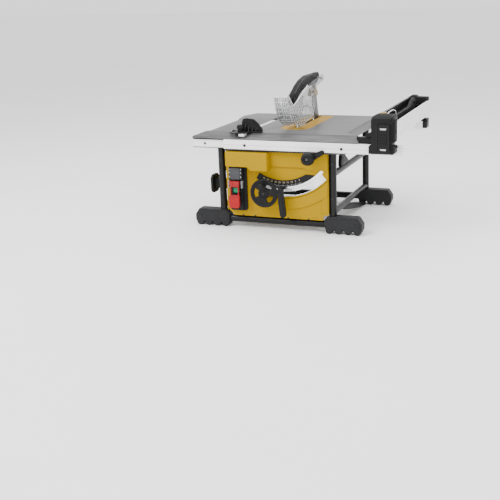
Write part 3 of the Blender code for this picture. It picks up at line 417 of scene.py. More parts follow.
def block(bm, low, high):
    """A box between two opposite corners."""
    (x0, y0, z0), (x1, y1, z1) = low, high
    prism(bm, [(x0, y0), (x1, y0), (x1, y1), (x0, y1)], "z", z0, z1)


def turned(bm, profile, start, direction, steps=32):
    """A turned shape: (radius, height) points from one end on the axis to the other."""
    frame_of = Matrix.Translation(start) @ Vector(direction).to_track_quat("Z", "Y").to_matrix().to_4x4()
    rings = []
    for radius, height in profile:
        if radius < 1e-6:
            rings.append([bm.verts.new(frame_of @ Vector((0, 0, height)))])
            continue
        points = [(radius * c, radius * s, height) for c, s in around(steps)]
        rings.append([bm.verts.new(frame_of @ Vector(point)) for point in points])
    for a, b in zip(rings, rings[1:]):
        for i in range(steps):
            j = (i + 1) % steps
            corners = []
            for vert in (a[i % len(a)], a[j % len(a)], b[j % len(b)], b[i % len(b)]):
                if vert not in corners:
                    corners.append(vert)
            if len(corners) > 2:
                bm.faces.new(corners)


def rod(bm, start, end, radius, steps=20, edge=EDGE_WIDTH):
    """A straight round bar with chamfered ends."""
    length = (Vector(end) - Vector(start)).length
    edge = min(edge, radius / 2, length / 3)
    profile = [(0, 0), (radius - edge, 0), (radius, edge), (radius, length - edge), (radius - edge, length),
               (0, length)]
    turned(bm, profile, start, Vector(end) - Vector(start), steps)


def tube(bm, path, radius, sides=20, closed=False):
    """A round bar along a list of points."""
    points = [Vector(p) for p in path]
    count = len(points)
    rings = []
    side = None
    for i, point in enumerate(points):
        before = points[i - 1] if (i or closed) else point
        after = points[(i + 1) % count] if (i < count - 1 or closed) else point
        along = (after - before).normalized()
        if side is None:
            side = along.orthogonal().normalized()
        side = (side - along * side.dot(along)).normalized()
        across = along.cross(side)
        rings.append([bm.verts.new(point + radius * (side * c + across * s)) for c, s in around(sides)])
    pairs = list(zip(rings, rings[1:]))
    if closed:
        last, first = rings[-1], rings[0]
        turn = min(range(sides), key=lambda k: (last[0].co - first[k].co).length)
        pairs.append((last, first[turn:] + first[:turn]))
    for a, b in pairs:
        for k in range(sides):
            j = (k + 1) % sides
            bm.faces.new((a[k], a[j], b[j], b[k]))
    if not closed:
        bm.faces.new(rings[0])
        bm.faces.new(rings[-1])


def circle_path(centre, radius, axis, steps):
    """A circle square to one axis. Its centre is given in the plane's own order, and then along the axis."""
    put = PLANES[axis]
    return [put(u, v, centre[2]) for u, v in circle(centre[:2], radius, steps)]


def piece(name, build, material, body, replaces=(), bevel=EDGE_WIDTH, segments=2):
    """Makes one visible piece from build(bm), bevels its edges and hangs it on its CAD body."""
    bm = bmesh.new()
    build(bm)
    bmesh.ops.recalc_face_normals(bm, faces=bm.faces)
    mesh = bpy.data.meshes.new(name)
    bm.to_mesh(mesh)
    bm.free()
    mesh.shade_smooth()
    mesh.set_sharp_from_angle(angle=SHARP_ANGLE)
    mesh.materials.append(MAT[material])
    obj = bpy.data.objects.new(name, mesh)
    bpy.context.scene.collection.objects.link(obj)
    obj.location = ORIGIN
    add_bevel(obj, bevel, segments)
    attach(obj, body)
    if replaces:
        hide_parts(*replaces)


def add_bevel(obj, width, segments):
    if not width:
        return
    step = obj.modifiers.new("edges", "BEVEL")
    step.width = width
    step.segments = segments
    step.limit_method = "ANGLE"
    step.angle_limit = SHARP_ANGLE
    step.harden_normals = True


def dress(node, material, bevel=EDGE_WIDTH, segments=2):
    """Keeps a CAD node's own shape, with softened edges and a better material."""
    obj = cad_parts[node]
    obj.data.materials.clear()
    obj.data.materials.append(MAT[material])
    obj.data.shade_smooth()
    obj.data.set_sharp_from_angle(angle=SHARP_ANGLE)
    weld = obj.modifiers.new("weld", "WELD")
    weld.merge_threshold = 0.00001
    add_bevel(obj, bevel, segments)


def screw_head(bm, at, direction, radius=0.0045, height=0.0022):
    """A socket head with a round recess."""
    recess = height * 0.45
    profile = [(0, recess), (radius * 0.48, recess), (radius * 0.55, height), (radius * 0.86, height),
               (radius, height * 0.75), (radius, 0), (0, 0)]
    turned(bm, profile, at, direction, 18)


def screws(name, body, places, direction, radius, height, bevel=0):
    """One piece of equal screw heads."""

    def heads(bm):
        for at in places:
            screw_head(bm, at, direction, radius, height)

    piece(name, heads, "screw", body, bevel=bevel)


# ---- table ----
def make_table():
    dress("table_top", "table", 0.0011, 3)
    dress("throat_plate", "throat", 0.0005)
    low, high = node_box("throat_plate")
    middle = BLADE_X + 0.001

    def plate_screws(bm):
        for x, y in ((middle, low.y + 0.02), (middle + 0.002, high.y - 0.006)):
            screw_head(bm, (x, y, high.z - 0.001), UP, 0.005, 0.0013)
        for x in (low.x + 0.014, high.x - 0.014):
            for y in (low.y + 0.06, high.y - 0.03):
                screw_head(bm, (x, y, high.z - 0.0012), UP, 0.0026, 0.0012)

    piece("throat_plate_screws", plate_screws, "screw", "throat_plate", bevel=0)

    def finger_hole(bm):
        profile = [(0, 0), (0.009, 0), (0.0102, 0.0006), (0.0102, 0.0009), (0.0088, 0.0009), (0.008, 0.0002),
                   (0, 0.0002)]
        turned(bm, profile, (high.x - 0.026, low.y + 0.026, high.z - 0.0004), UP, 28)

    piece("throat_plate_finger_hole", finger_hole, "black", "throat_plate", bevel=0)


# ---- rails ----
def rail_profile(y_face, y_back, z0, z1):
    """A rail's section (y, z): two die grooves in its face and a rounded nose at the bottom."""
    out = -1 if y_face < y_back else 1
    groove = y_face - out * 0.0012
    mid = (z0 + z1) / 2
    return [
        (y_back, z1), (y_face - out * 0.001, z1), (y_face, z1 - 0.001),
        (y_face, z1 - 0.0065), (groove, z1 - 0.0072), (groove, z1 - 0.0085), (y_face, z1 - 0.0092),
        (y_face, mid - 0.004), (groove, mid - 0.0047), (groove, mid - 0.0058), (y_face, mid - 0.0065),
        (y_face, z0 + 0.0022), (y_face - out * 0.002, z0), (y_back, z0),
    ]


def make_sliding_front_rail():
    low, high = node_box("sliding_front_rail")
    rail_z0 = high.z - 0.0325

    def front(bm):
        prism(bm, rail_profile(low.y, high.y, rail_z0, high.z), "x", low.x, high.x)

    piece("sliding_front_rail_skin", front, "rail", "rails", ("sliding_front_rail",), 0.0003)

    def seam(bm):
        mid = (rail_z0 + high.z) / 2 - 0.0012
        block(bm, (low.x + 0.001, low.y - 0.0001, mid - 0.0004),
              (high.x - 0.001, low.y + 0.0006, mid + 0.0004))

    piece("front_rail_seam", seam, "silver", "rails", bevel=0)

    def rack(bm):
        pitch = 0.0052
        root, tip = rail_z0 - 0.0022, low.z + 0.0002
        block(bm, (RACK_X[0], low.y + 0.0015, root), (RACK_END, high.y - 0.002, rail_z0 + 0.0004))
        for x in spaced(*RACK_X, pitch):
            outline = [(x, rail_z0 - 0.002), (x + pitch * 0.16, tip), (x + pitch * 0.5, tip),
                       (x + pitch * 0.66, rail_z0 - 0.002)]
            prism(bm, outline, "y", low.y + 0.0015, high.y - 0.002)

    piece("front_rack", rack, "screw", "rails", bevel=0)


def make_fixed_front_rail():
    """The fixed rail, its black end bracket and strips, and the bolts of both front rails."""
    low, high = node_box("front_rail")
    fixed_top, fixed_end = 0.31, 0.292

    def fixed(bm):
        profile = rail_profile(low.y + 0.0002, high.y, low.z, fixed_top)
        prism(bm, profile, "x", low.x, fixed_end)

    piece("front_rail_skin", fixed, "rail", "chassis", ("front_rail",), 0.0003)

    def end_bracket(bm):
        block(bm, (fixed_end, low.y, low.z), (high.x, high.y, fixed_top))
        corner = [(0.2945, low.y), (high.x, low.y), (high.x, high.y), (0.2832, high.y)]
        prism(bm, corner, "z", 0.309, high.z)
        block(bm, (0.3, low.y + 0.004, 0.285), (0.344, high.y + 0.015, 0.324))
        block(bm, (0.306, low.y + 0.004, 0.32), (0.343, high.y + 0.012, 0.332))

    piece("front_rail_end_bracket", end_bracket, "black", "chassis", bevel=0.0009)

    def strips(bm):
        for z0, z1 in ((fixed_top - 0.003, fixed_top + 0.0016), (low.z - 0.0002, low.z + 0.0024)):
            block(bm, (low.x, low.y - 0.0006, z0), (-0.166, low.y + 0.0012, z1))

    piece("front_rail_strips", strips, "screw", "chassis", bevel=0.0003)

    sliding_face = node_box("sliding_front_rail")[0].y
    bolts = [(x, sliding_face + 0.0006, 0.2935) for x in (-0.095, 0.241)]
    screws("front_rail_bolts", "rails", bolts, TO_FRONT, 0.0048, 0.0026)
    screws("fixed_rail_bolt", "chassis", [(-0.245, low.y + 0.0002, 0.294)], TO_FRONT, 0.0042, 0.0005)


def make_rear_rails():
    """The sliding rear rail with its rack, the fixed one and the end cap."""
    low, high = node_box("sliding_rear_rail")

    def rear(bm):
        prism(bm, rail_profile(high.y, low.y, high.z - 0.03, high.z), "x", low.x, high.x)
        root, tip = 0.285, low.z + 0.0002
        for x in spaced(*RACK_X, 0.0042):
            outline = [(x, root), (x + 0.0012, tip), (x + 0.0024, tip), (x + 0.0036, root)]
            prism(bm, outline, "y", low.y + 0.0015, high.y - 0.0015)
        block(bm, (RACK_X[0], low.y + 0.0015, 0.279), (RACK_END, high.y - 0.0015, root + 0.0006))

    piece("sliding_rear_rail_skin", rear, "rail", "rails", ("sliding_rear_rail",), 0.0003)
    dress("rear_rail", "rail", 0.0008)
    dress("rear_rail_end_cap", "black", 0.0022, 3)

    c_low, c_high = node_box("rear_rail_end_cap")
    screw_y = (c_low.y + c_high.y) / 2 + 0.004
    heads = [(c_high.x - 0.0008, screw_y, z) for z in (c_low.z + 0.009, c_high.z - 0.009)]
    screws("rear_rail_cap_screws", "rails", heads, (1, 0, 0), 0.0034, 0.0006, 0.0004)


def make_rail_drive():
    """The pinion shaft and its ribbed knob."""
    dress("pinion_shaft", "steel", 0.0003)
    low, high = node_box("fine_adjust_knob")
    x, _, z = node_centre("fine_adjust_knob")
    depth = high.y - low.y
    radius = (high.x - low.x) / 2

    def knob(bm):
        profile = [(0, depth - 0.006), (0.007, depth - 0.006), (0.008, depth - 0.002), (0.01, depth - 0.0004),
                   (0.013, depth), (0.016, depth - 0.0012), (radius * 0.86, depth - 0.005),
                   (radius * 0.93, depth * 0.4), (radius * 0.96, depth * 0.22), (radius, depth * 0.16),
                   (radius, 0.0008), (radius - 0.001, 0), (0, 0)]
        turned(bm, profile, (x, high.y, z), TO_FRONT, 48)
        for c, s in around(20):
            start = (x + radius * 0.945 * c, high.y - depth * 0.2, z + radius * 0.945 * s)
            end = (x + radius * 0.86 * c, high.y - depth * 0.8, z + radius * 0.86 * s)
            rod(bm, start, end, 0.0014, 8)

    piece("fine_adjust_knob_skin", knob, "black", "pinion", ("fine_adjust_knob",), 0.0003)

    # A cap in the knob's centre, coloured grey as a painted highlight on the dark centre.
    def cap(bm):
        turned(bm, [(0, 0.003), (0.0035, 0.0028), (0.0058, 0.0016), (0.0064, 0), (0, 0)],
               (x, low.y + 0.0066, z), TO_FRONT, 28)

    piece("fine_adjust_cap_painted_highlight", cap, "grey", "pinion", bevel=0)


def make_rail_lock():
    """The lever around the knob that locks the rails."""
    x, _, z = node_centre("fine_adjust_knob")
    low, high = node_box("rail_lock_lever")

    def lever(bm):
        y0, y1 = low.y, high.y
        outline = arc((x, z), 0.016, 55, 318, 24)
        outline += [(x + 0.031, z + 0.003), (x + 0.05, z + 0.014), (x + 0.053, z + 0.024),
                    (x + 0.046, z + 0.029)]
        prism(bm, softened(outline, 0.004, 3), "y", y0, y1, [circle((x, z), 0.0058)])
        tube(bm, [(x + 0.016, y0 + 0.001, z + 0.01), (x + 0.032, y0 + 0.001, z + 0.016),
                  (x + 0.046, y0 + 0.0015, z + 0.0225)], 0.0016, 10)

    piece("rail_lock_lever_skin", lever, "black", "rail_lock", ("rail_lock_lever",),
          0.0014, 3)


# ---- cage and feet ----
def hoop_path(y, top):
    """One bent tube: down the left post, along the floor and up the right post."""
    bend, floor_z = 0.03, 0.029
    half = POST_X - bend
    path = [(-POST_X, y, top)]
    path += [(u, y, v) for u, v in arc((-half, floor_z + bend), bend, 180, 270, 10)]
    path += [(u, y, v) for u, v in arc((half, floor_z + bend), bend, 270, 360, 10)]
    return path + [(POST_X, y, top)]


def make_cage():
    tops = {FRONT_Y: 0.325, REAR_Y: 0.286}
    levels = (0.0715, 0.2)

    def tubes(bm):
        for y, top in tops.items():
            tube(bm, hoop_path(y, top), HOOP_R, 28)
        for side in (-1, 1):
            for z in levels:
                x = side * POST_X
                tube(bm, [(x, FRONT_Y + 0.004, z), (x, REAR_Y - 0.004, z)], SIDE_TUBE_R, 24)

    piece("cage_tubes", tubes, "tube", "chassis", ("cage_frame",), bevel=0)

    def welds(bm):
        for side in (-1, 1):
            for z in levels:
                for y, way in ((FRONT_Y, 1), (REAR_Y, -1)):
                    path = []
                    for c, s in around(24):
                        reach = math.sqrt(HOOP_R ** 2 - (SIDE_TUBE_R * c) ** 2)
                        path.append((side * POST_X + SIDE_TUBE_R * c, y + reach * way, z + SIDE_TUBE_R * s))
                    tube(bm, path, 0.0014, 8, True)

    piece("cage_welds", welds, "tube", "chassis", bevel=0)

    bolts = [(side * POST_X, FRONT_Y - HOOP_R + 0.0004, z) for side in (-1, 1) for z in (0.12, 0.236)]
    screws("cage_bolts", "chassis", bolts, TO_FRONT, 0.0038, 0.0016)


def make_foot(node, at_front):
    """A moulded foot with a raised panel and two screws on its outer face."""
    low, high = node_box(node)
    side = 1 if low.x > 0 else -1
    inner, outer = min(abs(low.x), abs(high.x)), max(abs(low.x), abs(high.x))
    pitch = (outer - inner) / 4
    face, out = (low.y, -1) if at_front else (high.y, 1)
    screw_places = [(side * u, face - out * 0.0006, 0.0335) for u in (0.209, 0.269)]

    def shell(bm):
        """A block with four round treads under it, the lowest of which touch the floor."""
        treads = [arc((inner + pitch * (i + 0.5), 0.0105), pitch * 0.37, 190, 350, 9) for i in range(4)]
        lift = min(v for u, v in treads[0])
        sole = [(inner, 0.023), (inner + 0.004, 0.015)]
        for i, tread in enumerate(treads):
            sole += tread
            if i < 3:
                sole.append((inner + pitch * (i + 1), 0.0135))
        sole = [(u, max(v - lift, 0.0)) for u, v in sole]
        top = [(outer - 0.004, 0.012), (outer, 0.02), (outer, 0.038), (outer - 0.015, high.z),
               (inner + 0.011, high.z), (inner, 0.047)]
        prism(bm, [(side * u, v) for u, v in sole + top], "y", low.y, high.y)

    piece(node + "_shell", shell, "charcoal", "chassis", (node,), 0.0028, 3)

    def panel(bm):
        raised = [(inner + 0.01, 0.019), (outer - 0.009, 0.019), (outer - 0.007, 0.04),
                  (outer - 0.017, 0.0525), (inner + 0.016, 0.0525), (inner + 0.008, 0.045)]
        raised = softened([(side * u, v) for u, v in raised], 0.005)
        holes = [circle((x, z), 0.0062) for x, _, z in screw_places]
        prism(bm, raised, "y", face, face + out * 0.0012, holes)

    piece(node + "_panel", panel, "charcoal", "chassis", bevel=0.0005)
    screws(node + "_screws", "chassis", screw_places, (0, out, 0), 0.0046, 0.0016)


def make_feet():
    for side in ("left", "right"):
        make_foot("foot_front_" + side, True)
    for side in ("left", "right"):
        make_foot("foot_rear_" + side, False)


# ---- panels ----
def make_front_panel():
    x0, x1 = -0.173, 0.189
    z0, z1 = 0.045, 0.2715
    face = -0.275
    back = face + 0.003
    inside = face + 0.0005          # raised details start this deep, behind the plate's face
    knob = node_centre("fine_adjust_knob")[::2]
    opening = hanging_arc(0.2135, -20, 46, 40) + hanging_arc(0.19, 46.5, 49.5, 2)
    opening += hanging_arc(0.179, 49.5, -20, 40)
    outline = [(x0 + 0.021, z0), (x1 - 0.02, z0), (x1 - 0.018, z0 + 0.0165), (x1, z0 + 0.018), (x1, z1),
               (x0, z1), (x0, z0 + 0.024)]
    outline = softened(outline, 0.006)

    def plate(bm):
        prism(bm, outline, "y", face, back, [opening, circle(knob, 0.0068)])
        block(bm, (0.1815, face + 0.0015, 0.063), (0.1845, -0.19, z1))

    piece("front_panel_plate", plate, "yellow", "chassis", ("front_panel",), 0.0009, 3)

    def raised_box(bm):
        front = -0.31
        shape = [(-0.164, z1), (-0.164, 0.221), (-0.084, 0.221), (-0.076, 0.2095), (-0.0135, 0.2095),
                 (-0.0135, z1)]
        prism(bm, softened(shape, 0.005, 5), "y", front, face + 0.001)

    piece("front_panel_box", raised_box, "yellow", "chassis", bevel=0.0036, segments=4)

    def step(bm):
        shape = [(-0.016, 0.2225), (0.108, 0.2225), (0.118, 0.215), (x1 - 0.002, 0.215), (x1 - 0.001, z1),
                 (-0.016, z1)]
        prism(bm, softened(shape, 0.005), "y", -0.28, face + 0.001, [circle(knob, 0.0075)])

    piece("front_panel_step", step, "yellow", "chassis", bevel=0.002, segments=3)

    def ridges(bm):
        lower = hanging_arc(0.256, -17, 37.5, 36) + hanging_arc(0.22, 46.5, -17, 36)
        prism(bm, lower, "y", face - 0.0032, inside)
        prism(bm, hanging_band(0.2172, 0.2137, -20.5, 47.5, 44), "y", face - 0.004, inside)
        prism(bm, hanging_band(0.1788, 0.1755, 43.0, -8.0, 30), "y", face - 0.0022, inside)
        for x in (-0.06, 0.01, 0.08, 0.138):
            block(bm, (x - 0.0075, face - 0.0016, z0 + 0.001), (x + 0.0075, inside, z0 + 0.009))
        corner = [(x1 - 0.026, 0.07), (x1 - 0.004, 0.07), (x1 - 0.004, 0.15), (x1 - 0.016, 0.15)]
        prism(bm, softened(corner, 0.004), "y", face - 0.0018, inside)

    piece("front_panel_ridges", ridges, "yellow", "chassis", bevel=0.0014, segments=3)

    # Thin darker yellow strips painted as shade: in the groove beside the raised box, the box's shadow on the
    # step, under the step and under the raised arc band.
    def shadow_lines(bm):
        recess = [(-0.092, 0.06), (-0.08, 0.06), (-0.076, 0.206), (-0.092, 0.215)]
        prism(bm, softened(recess, 0.004), "y", face - 0.0005, inside)
        side = [(-0.0135, 0.224), (-0.006, 0.224), (-0.006, z1 - 0.001), (-0.0135, z1 - 0.001)]
        prism(bm, side, "y", -0.2806, -0.279)
        under = [(-0.012, 0.217), (0.106, 0.217), (0.114, 0.211), (0.11, 0.2215), (-0.012, 0.2222)]
        prism(bm, under, "y", face - 0.0006, inside)
        prism(bm, hanging_band(0.259, 0.2562, -6, 36, 30), "y", face - 0.0012, inside)

    piece("front_panel_painted_shade", shadow_lines, "yellow_painted_shade", "chassis", bevel=0.0003)

    def screws_and_notch_shade(bm):
        # The dark blocks along the bottom edge are painted shade in the edge's notches; the two rods are
        # screw heads.
        for x in (-0.118, -0.074, 0.046, 0.118):
            block(bm, (x - 0.0035, face - 0.0004, z0 + 0.0002), (x + 0.0035, face + 0.001, z0 + 0.0042))
        rod(bm, (0.177, face - 0.0016, 0.165), (0.177, face + 0.001, 0.165), 0.0028, 20)
        rod(bm, (-0.166, face - 0.0004, 0.076), (-0.166, face + 0.001, 0.076), 0.0022, 16)

    piece("front_panel_screws_and_notch_shade", screws_and_notch_shade, "screw", "chassis", bevel=0.0002)

    dress("left_side_panel", "yellow", 0.0007)


def make_bevel_scale():
    low, high = node_box("bevel_scale")

    def plate(bm):
        shape = hanging_arc(0.1785, -31, 41, 48) + hanging_arc(0.157, 32, -31, 48)
        prism(bm, softened(shape, 0.003), "y", low.y, high.y)
        prism(bm, hanging_band(0.1785, 0.1772, -30.5, 39.5, 48), "y", low.y - 0.001, low.y + 0.0005)

    piece("bevel_scale_band", plate, "black", "chassis", ("bevel_scale",), 0.0007)

    def ticks(bm):
        """One tick for each degree, and a longer one for every fifth."""
        for i in range(48):
            angle = i - 24
            inner = 0.1738 if i % 5 else 0.1712
            tick = hanging_band(0.1764, inner, angle - 0.1, angle + 0.1, 1)
            prism(bm, tick, "y", low.y - 0.0002, low.y + 0.0002)

    piece("bevel_scale_ticks", ticks, "pale", "chassis", bevel=0)

    meshes = bmesh.new()
    for k in range(10):
        angle = -23 + k * 5.0
        x, z = hanging_arc(0.164, angle, angle, 1)[0]
        text = bpy.data.curves.new("dial_number", "FONT")
        text.body = str(45 - 5 * k)
        text.size = 0.0088
        text.align_x = "CENTER"
        text.align_y = "CENTER"
        text.extrude = 0.0001
        text.resolution_u = 2
        holder = bpy.data.objects.new("dial_number", text)
        bpy.context.scene.collection.objects.link(holder)
        bpy.context.view_layer.update()
        mesh = bpy.data.meshes.new_from_object(holder.evaluated_get(bpy.context.evaluated_depsgraph_get()))
        turn = Matrix.Rotation(-math.radians(angle), 4, "Y") @ Matrix.Rotation(math.radians(90), 4, "X")
        mesh.transform(Matrix.Translation((x, low.y - 0.0002, z)) @ turn)
        meshes.from_mesh(mesh)
        bpy.data.objects.remove(holder, do_unlink=True)
        bpy.data.curves.remove(text)
        bpy.data.meshes.remove(mesh)

    def numbers(bm):
        copy = bpy.data.meshes.new("numbers")
        meshes.to_mesh(copy)
        bm.from_mesh(copy)
        bpy.data.meshes.remove(copy)

    piece("bevel_scale_numbers", numbers, "ink", "chassis", bevel=0)
    meshes.free()
    dress("bevel_guide", "bright", 0.0005)


def make_switch_housing():
    """The switch plate with a well for the start button, a hood between two side posts and pale cheeks."""
    low, high = node_box("switch_plate")
    plate_y = -0.282
    seat = -0.2815                  # the hood and the base start just inside the plate
    hood_x = (-0.158, -0.11)

    def plate(bm):
        prism(bm, rounded((low.x, low.z), (high.x, high.z), 0.009, 6), "y", plate_y, high.y)
        well = rounded((-0.146, 0.124), (-0.118, 0.155), 0.002, 3)
        base = rounded((low.x + 0.002, low.z + 0.002), (-0.111, high.z - 0.002), 0.007, 5)
        prism(bm, base, "y", -0.2862, seat, [well])

    piece("switch_housing", plate, "black", "chassis", ("switch_plate",), 0.0022, 3)

    def hood(bm):
        outline = rounded((hood_x[0] + 0.006, 0.1745), (hood_x[1] - 0.006, 0.2165), 0.006, 5)
        prism(bm, outline, "y", low.y, seat)

    piece("switch_hood", hood, "grey", "chassis", bevel=0.0024, segments=3)

    def hood_sides(bm):
        for x in (hood_x[0], hood_x[1] - 0.0075):
            prism(bm, rounded((x, 0.1728), (x + 0.0075, 0.2175), 0.003, 4), "y", low.y + 0.002, seat)

    piece("switch_hood_sides", hood_sides, "charcoal", "chassis", bevel=0.0016, segments=3)

    def cheeks(bm):
        for x in (-0.1612, -0.1138):
            block(bm, (x, -0.299, 0.145), (x + 0.003, -0.285, 0.17))
        for x in (hood_x[0] + 0.0012, hood_x[1] - 0.0052):
            for z in (0.1815, 0.196, 0.207):
                block(bm, (x, low.y + 0.0016, z), (x + 0.0036, low.y + 0.003, z + 0.0055))

    piece("switch_cheeks", cheeks, "silver", "chassis", bevel=0.0006)


def make_stop_paddle():
    (x0, face, z0), (x1, back, z1) = node_box("stop_paddle")
    window = rounded((-0.146, 0.124), (-0.121, 0.152), 0.003, 4)

    def paddle(bm):
        outline = [(x0 + 0.001, z0 + 0.004), (x1 - 0.001, z0 + 0.004), (x1, 0.117), (x1 - 0.002, 0.124),
                   (x1 - 0.002, 0.152), (x1, 0.159), (x1, z1), (x0 + 0.004, z1), (x0 + 0.004, 0.159),
                   (x0 + 0.0065, 0.152), (x0 + 0.0065, 0.124), (x0, 0.117)]
        prism(bm, softened(outline, 0.003), "y", face + 0.003, back, [window])
        window_frame = rounded((-0.149, 0.1208), (-0.118, 0.1555), 0.004, 4)
        prism(bm, window_frame, "y", face + 0.0012, face + 0.004, [window])
        for x in (x0 + 0.005, x1 - 0.011):
            grip = rounded((x, 0.159), (x + 0.01, z1 - 0.0005), 0.003, 4)
            prism(bm, grip, "y", face + 0.0004, face + 0.004)

    piece("stop_paddle_skin", paddle, "red", "paddle", ("stop_paddle",), 0.0011, 3)

    def pad(bm):
        shape = [(x0 + 0.002, z0), (x1 - 0.003, z0), (x1 - 0.0005, z0 + 0.035), (x1 - 0.003, 0.117),
                 (x0 + 0.002, 0.117), (x0 + 0.0003, z0 + 0.035)]
        prism(bm, softened(shape, 0.006, 5), "y", face, face + 0.006)

    piece("stop_paddle_pad", pad, "red_pad", "paddle", bevel=0.002, segments=4)


def make_start_button():
    low, high = node_box("start_button")
    middle = (low + high) / 2

    def button(bm):
        outline = rounded((low.x, low.z), (high.x, high.z), 0.0024, 4)
        prism(bm, outline, "y", low.y + 0.0004, high.y)
        turned(bm, [(0, 0.001), (0.0046, 0.001), (0.0056, 0.0002), (0.0056, 0), (0, 0)],
               (middle.x, low.y + 0.001, middle.z), TO_FRONT, 28)

    piece("start_button_skin", button, "green", "start", ("start_button",), 0.001, 3)


# ---- hand wheel, levers ----
def make_hand_wheel():
    """A wheel with a round rim and three windows, on a shaft that ends in a bevel gear."""
    low, high = node_box("hand_wheel")
    x, _, z = node_centre("hand_wheel")
    rim_y = -0.31
    bar_r = 0.0045                  # the rim's round bar
    rim_r = (high.x - low.x) / 2 - bar_r
    knob_z = node_centre("crank_knob")[2]

    def wheel(bm):
        windows = []
        for angle, half in ((178, 28), (318, 27), (50, 20)):
            hole = arc((x, z), 0.0355, angle - half, angle + half, 12)
            hole += arc((x, z), 0.0195, angle + half, angle - half, 8)
            windows.append(softened(hole, 0.003, 2))
        prism(bm, circle((x, z), rim_r, 60), "y", rim_y - 0.0026, rim_y + 0.0034, windows)
        tube(bm, circle_path((x, z, rim_y), rim_r, "y", 60), bar_r, 16, True)
        turned(bm, [(0, 0.007), (0.006, 0.007), (0.007, 0.0052), (0.01, 0.005), (0.012, 0.003),
                    (0.0122, -0.003), (0, -0.003)], (x, rim_y, z), TO_FRONT, 36)
        for radius in (0.016, 0.0375):
            tube(bm, circle_path((x, z, rim_y - 0.0026), radius, "y", 48), 0.0009, 8, True)
        rod(bm, (x, rim_y - 0.0055, knob_z), (x, rim_y + 0.0035, knob_z), 0.009, 24)
        rod(bm, (x, rim_y + 0.002, z), (x, -0.2085, z), 0.005, 20)
        turned(bm, [(0, 0), (0.012, 0), (0.0095, 0.0115), (0, 0.0115)], (x, -0.215, z), TO_REAR, 24)

    piece("hand_wheel_skin", wheel, "black", "hand_wheel", ("hand_wheel",), 0.0012, 3)

    def hub_cap(bm):
        turned(bm, [(0, 0.0016), (0.003, 0.0014), (0.0042, 0), (0, 0)], (x, rim_y - 0.0068, z), TO_FRONT, 24)

    piece("hand_wheel_bolt", hub_cap, "screw", "hand_wheel", bevel=0)


def make_crank_knob():
    low, high = node_box("crank_knob")
    x, _, z = node_centre("crank_knob")
    length = high.y - low.y

    def grip(bm):
        profile = [(0, length), (0.0042, length), (0.0066, length - 0.001), (0.0082, length - 0.0035),
                   (0.0085, length - 0.007), (0.0076, length * 0.5), (0.0068, length * 0.28), (0.007, 0.0022),
                   (0.0078, 0.0012), (0.0078, 0), (0, 0)]
        turned(bm, profile, (x, high.y, z), TO_FRONT, 32)

    piece("crank_knob_skin", grip, "black", "crank_knob", ("crank_knob",), 0)

    def ring(bm):
        tube(bm, circle_path((x, z, low.y + 0.0012), 0.005, "y", 28), 0.0007, 8, True)

    piece("crank_knob_ring", ring, "silver", "crank_knob", bevel=0)


def make_bevel_lock():
    face = node_box("bevel_lock_lever")[0].y
    x, z = 0.033, 0.15

    def lock(bm):
        """A boss on its bolt, and an arm that hangs from it. The outlines are offsets from the bolt."""
        boss = [(0, 0.013), (0.005, 0.013), (0.0064, 0.0115), (0.0098, 0.0105), (0.0104, 0.009),
                (0.0104, -0.001), (0.009, -0.002), (0, -0.002)]
        arm = [(-0.0085, 0.002), (-0.008, -0.04), (-0.0035, -0.084), (0.0005, -0.0935), (0.0085, -0.0945),
               (0.016, -0.0905), (0.018, -0.083), (0.0135, -0.04), (0.0088, 0.002)]
        ridge = [(-0.004, -0.014), (-0.003, -0.04), (0.0015, -0.078), (0.01, -0.08), (0.0085, -0.04),
                 (0.0042, -0.014)]
        turned(bm, boss, (x, face + 0.012, z), TO_FRONT, 32)
        for outline, front, back in ((arm, face + 0.0012, face + 0.0108), (ridge, face, face + 0.002)):
            prism(bm, softened([(x + u, z + v) for u, v in outline], 0.003), "y", front, back)
        rod(bm, (x, -0.3045, z), (x, -0.2658, z), 0.0035, 16)

    piece("bevel_lock_lever_skin", lock, "black", "bevel_lock", ("bevel_lock_lever",),
          0.0013, 3)


# ---- fence ----
def make_fence_beam():
    low, high = node_box("fence_beam")
    x0, x1, z0 = low.x, high.x, low.z
    beam_front = -0.2615

    def beam(bm):
        left_top, right_top = high.z, 0.387
        section = [
            (x0, z0), (x1, z0), (x1, z0 + 0.012), (x1 - 0.001, z0 + 0.0128), (x1 - 0.001, z0 + 0.0142),
            (x1, z0 + 0.015), (x1, right_top - 0.009), (x1 - 0.001, right_top - 0.0082),
            (x1 - 0.001, right_top - 0.007), (x1, right_top - 0.0062), (x1, right_top),
            (x1 - 0.004, right_top), (x1 - 0.004, z0 + 0.0035), (x0 + 0.004, z0 + 0.0035),
            (x0 + 0.004, left_top), (x0, left_top),
            (x0, z0 + 0.014), (x0 + 0.001, z0 + 0.0132), (x0 + 0.001, z0 + 0.0118), (x0, z0 + 0.011),
        ]
        prism(bm, section, "y", beam_front, high.y)
        block(bm, (x1 - 0.004, low.y, z0), (x1, beam_front + 0.001, right_top))

    piece("fence_beam_skin", beam, "fence", "fence", ("fence_beam",), 0.0003)


def make_fence_tray():
    low, high = node_box("fence_tray")
    floor, rim = 0.35, 0.376

    def tray(bm):
        block(bm, (low.x, low.y, low.z), (high.x, high.y, floor))
        for a, b in ((low.x, 0.36), (0.4075, high.x)):
            block(bm, (a, low.y, floor - 0.001), (b, high.y, rim))
        for a, b in ((low.y, -0.235), (0.18, high.y)):
            block(bm, (low.x, a, floor - 0.001), (high.x, b, rim))
        block(bm, (low.x, low.y, rim - 0.004), (0.356, high.y, 0.399))
        for y in spaced(-0.205, 0.17, 0.03):
            block(bm, (0.3602, y, floor - 0.0005), (0.3745, y + 0.0022, floor + 0.012))
            block(bm, (0.388, y, floor - 0.0005), (0.4073, y + 0.0022, floor + 0.008))
            block(bm, (0.3555, y, rim - 0.002), (0.3572, y + 0.0022, 0.398))

    piece("fence_tray_skin", tray, "black", "fence", ("fence_tray",), 0.0007)


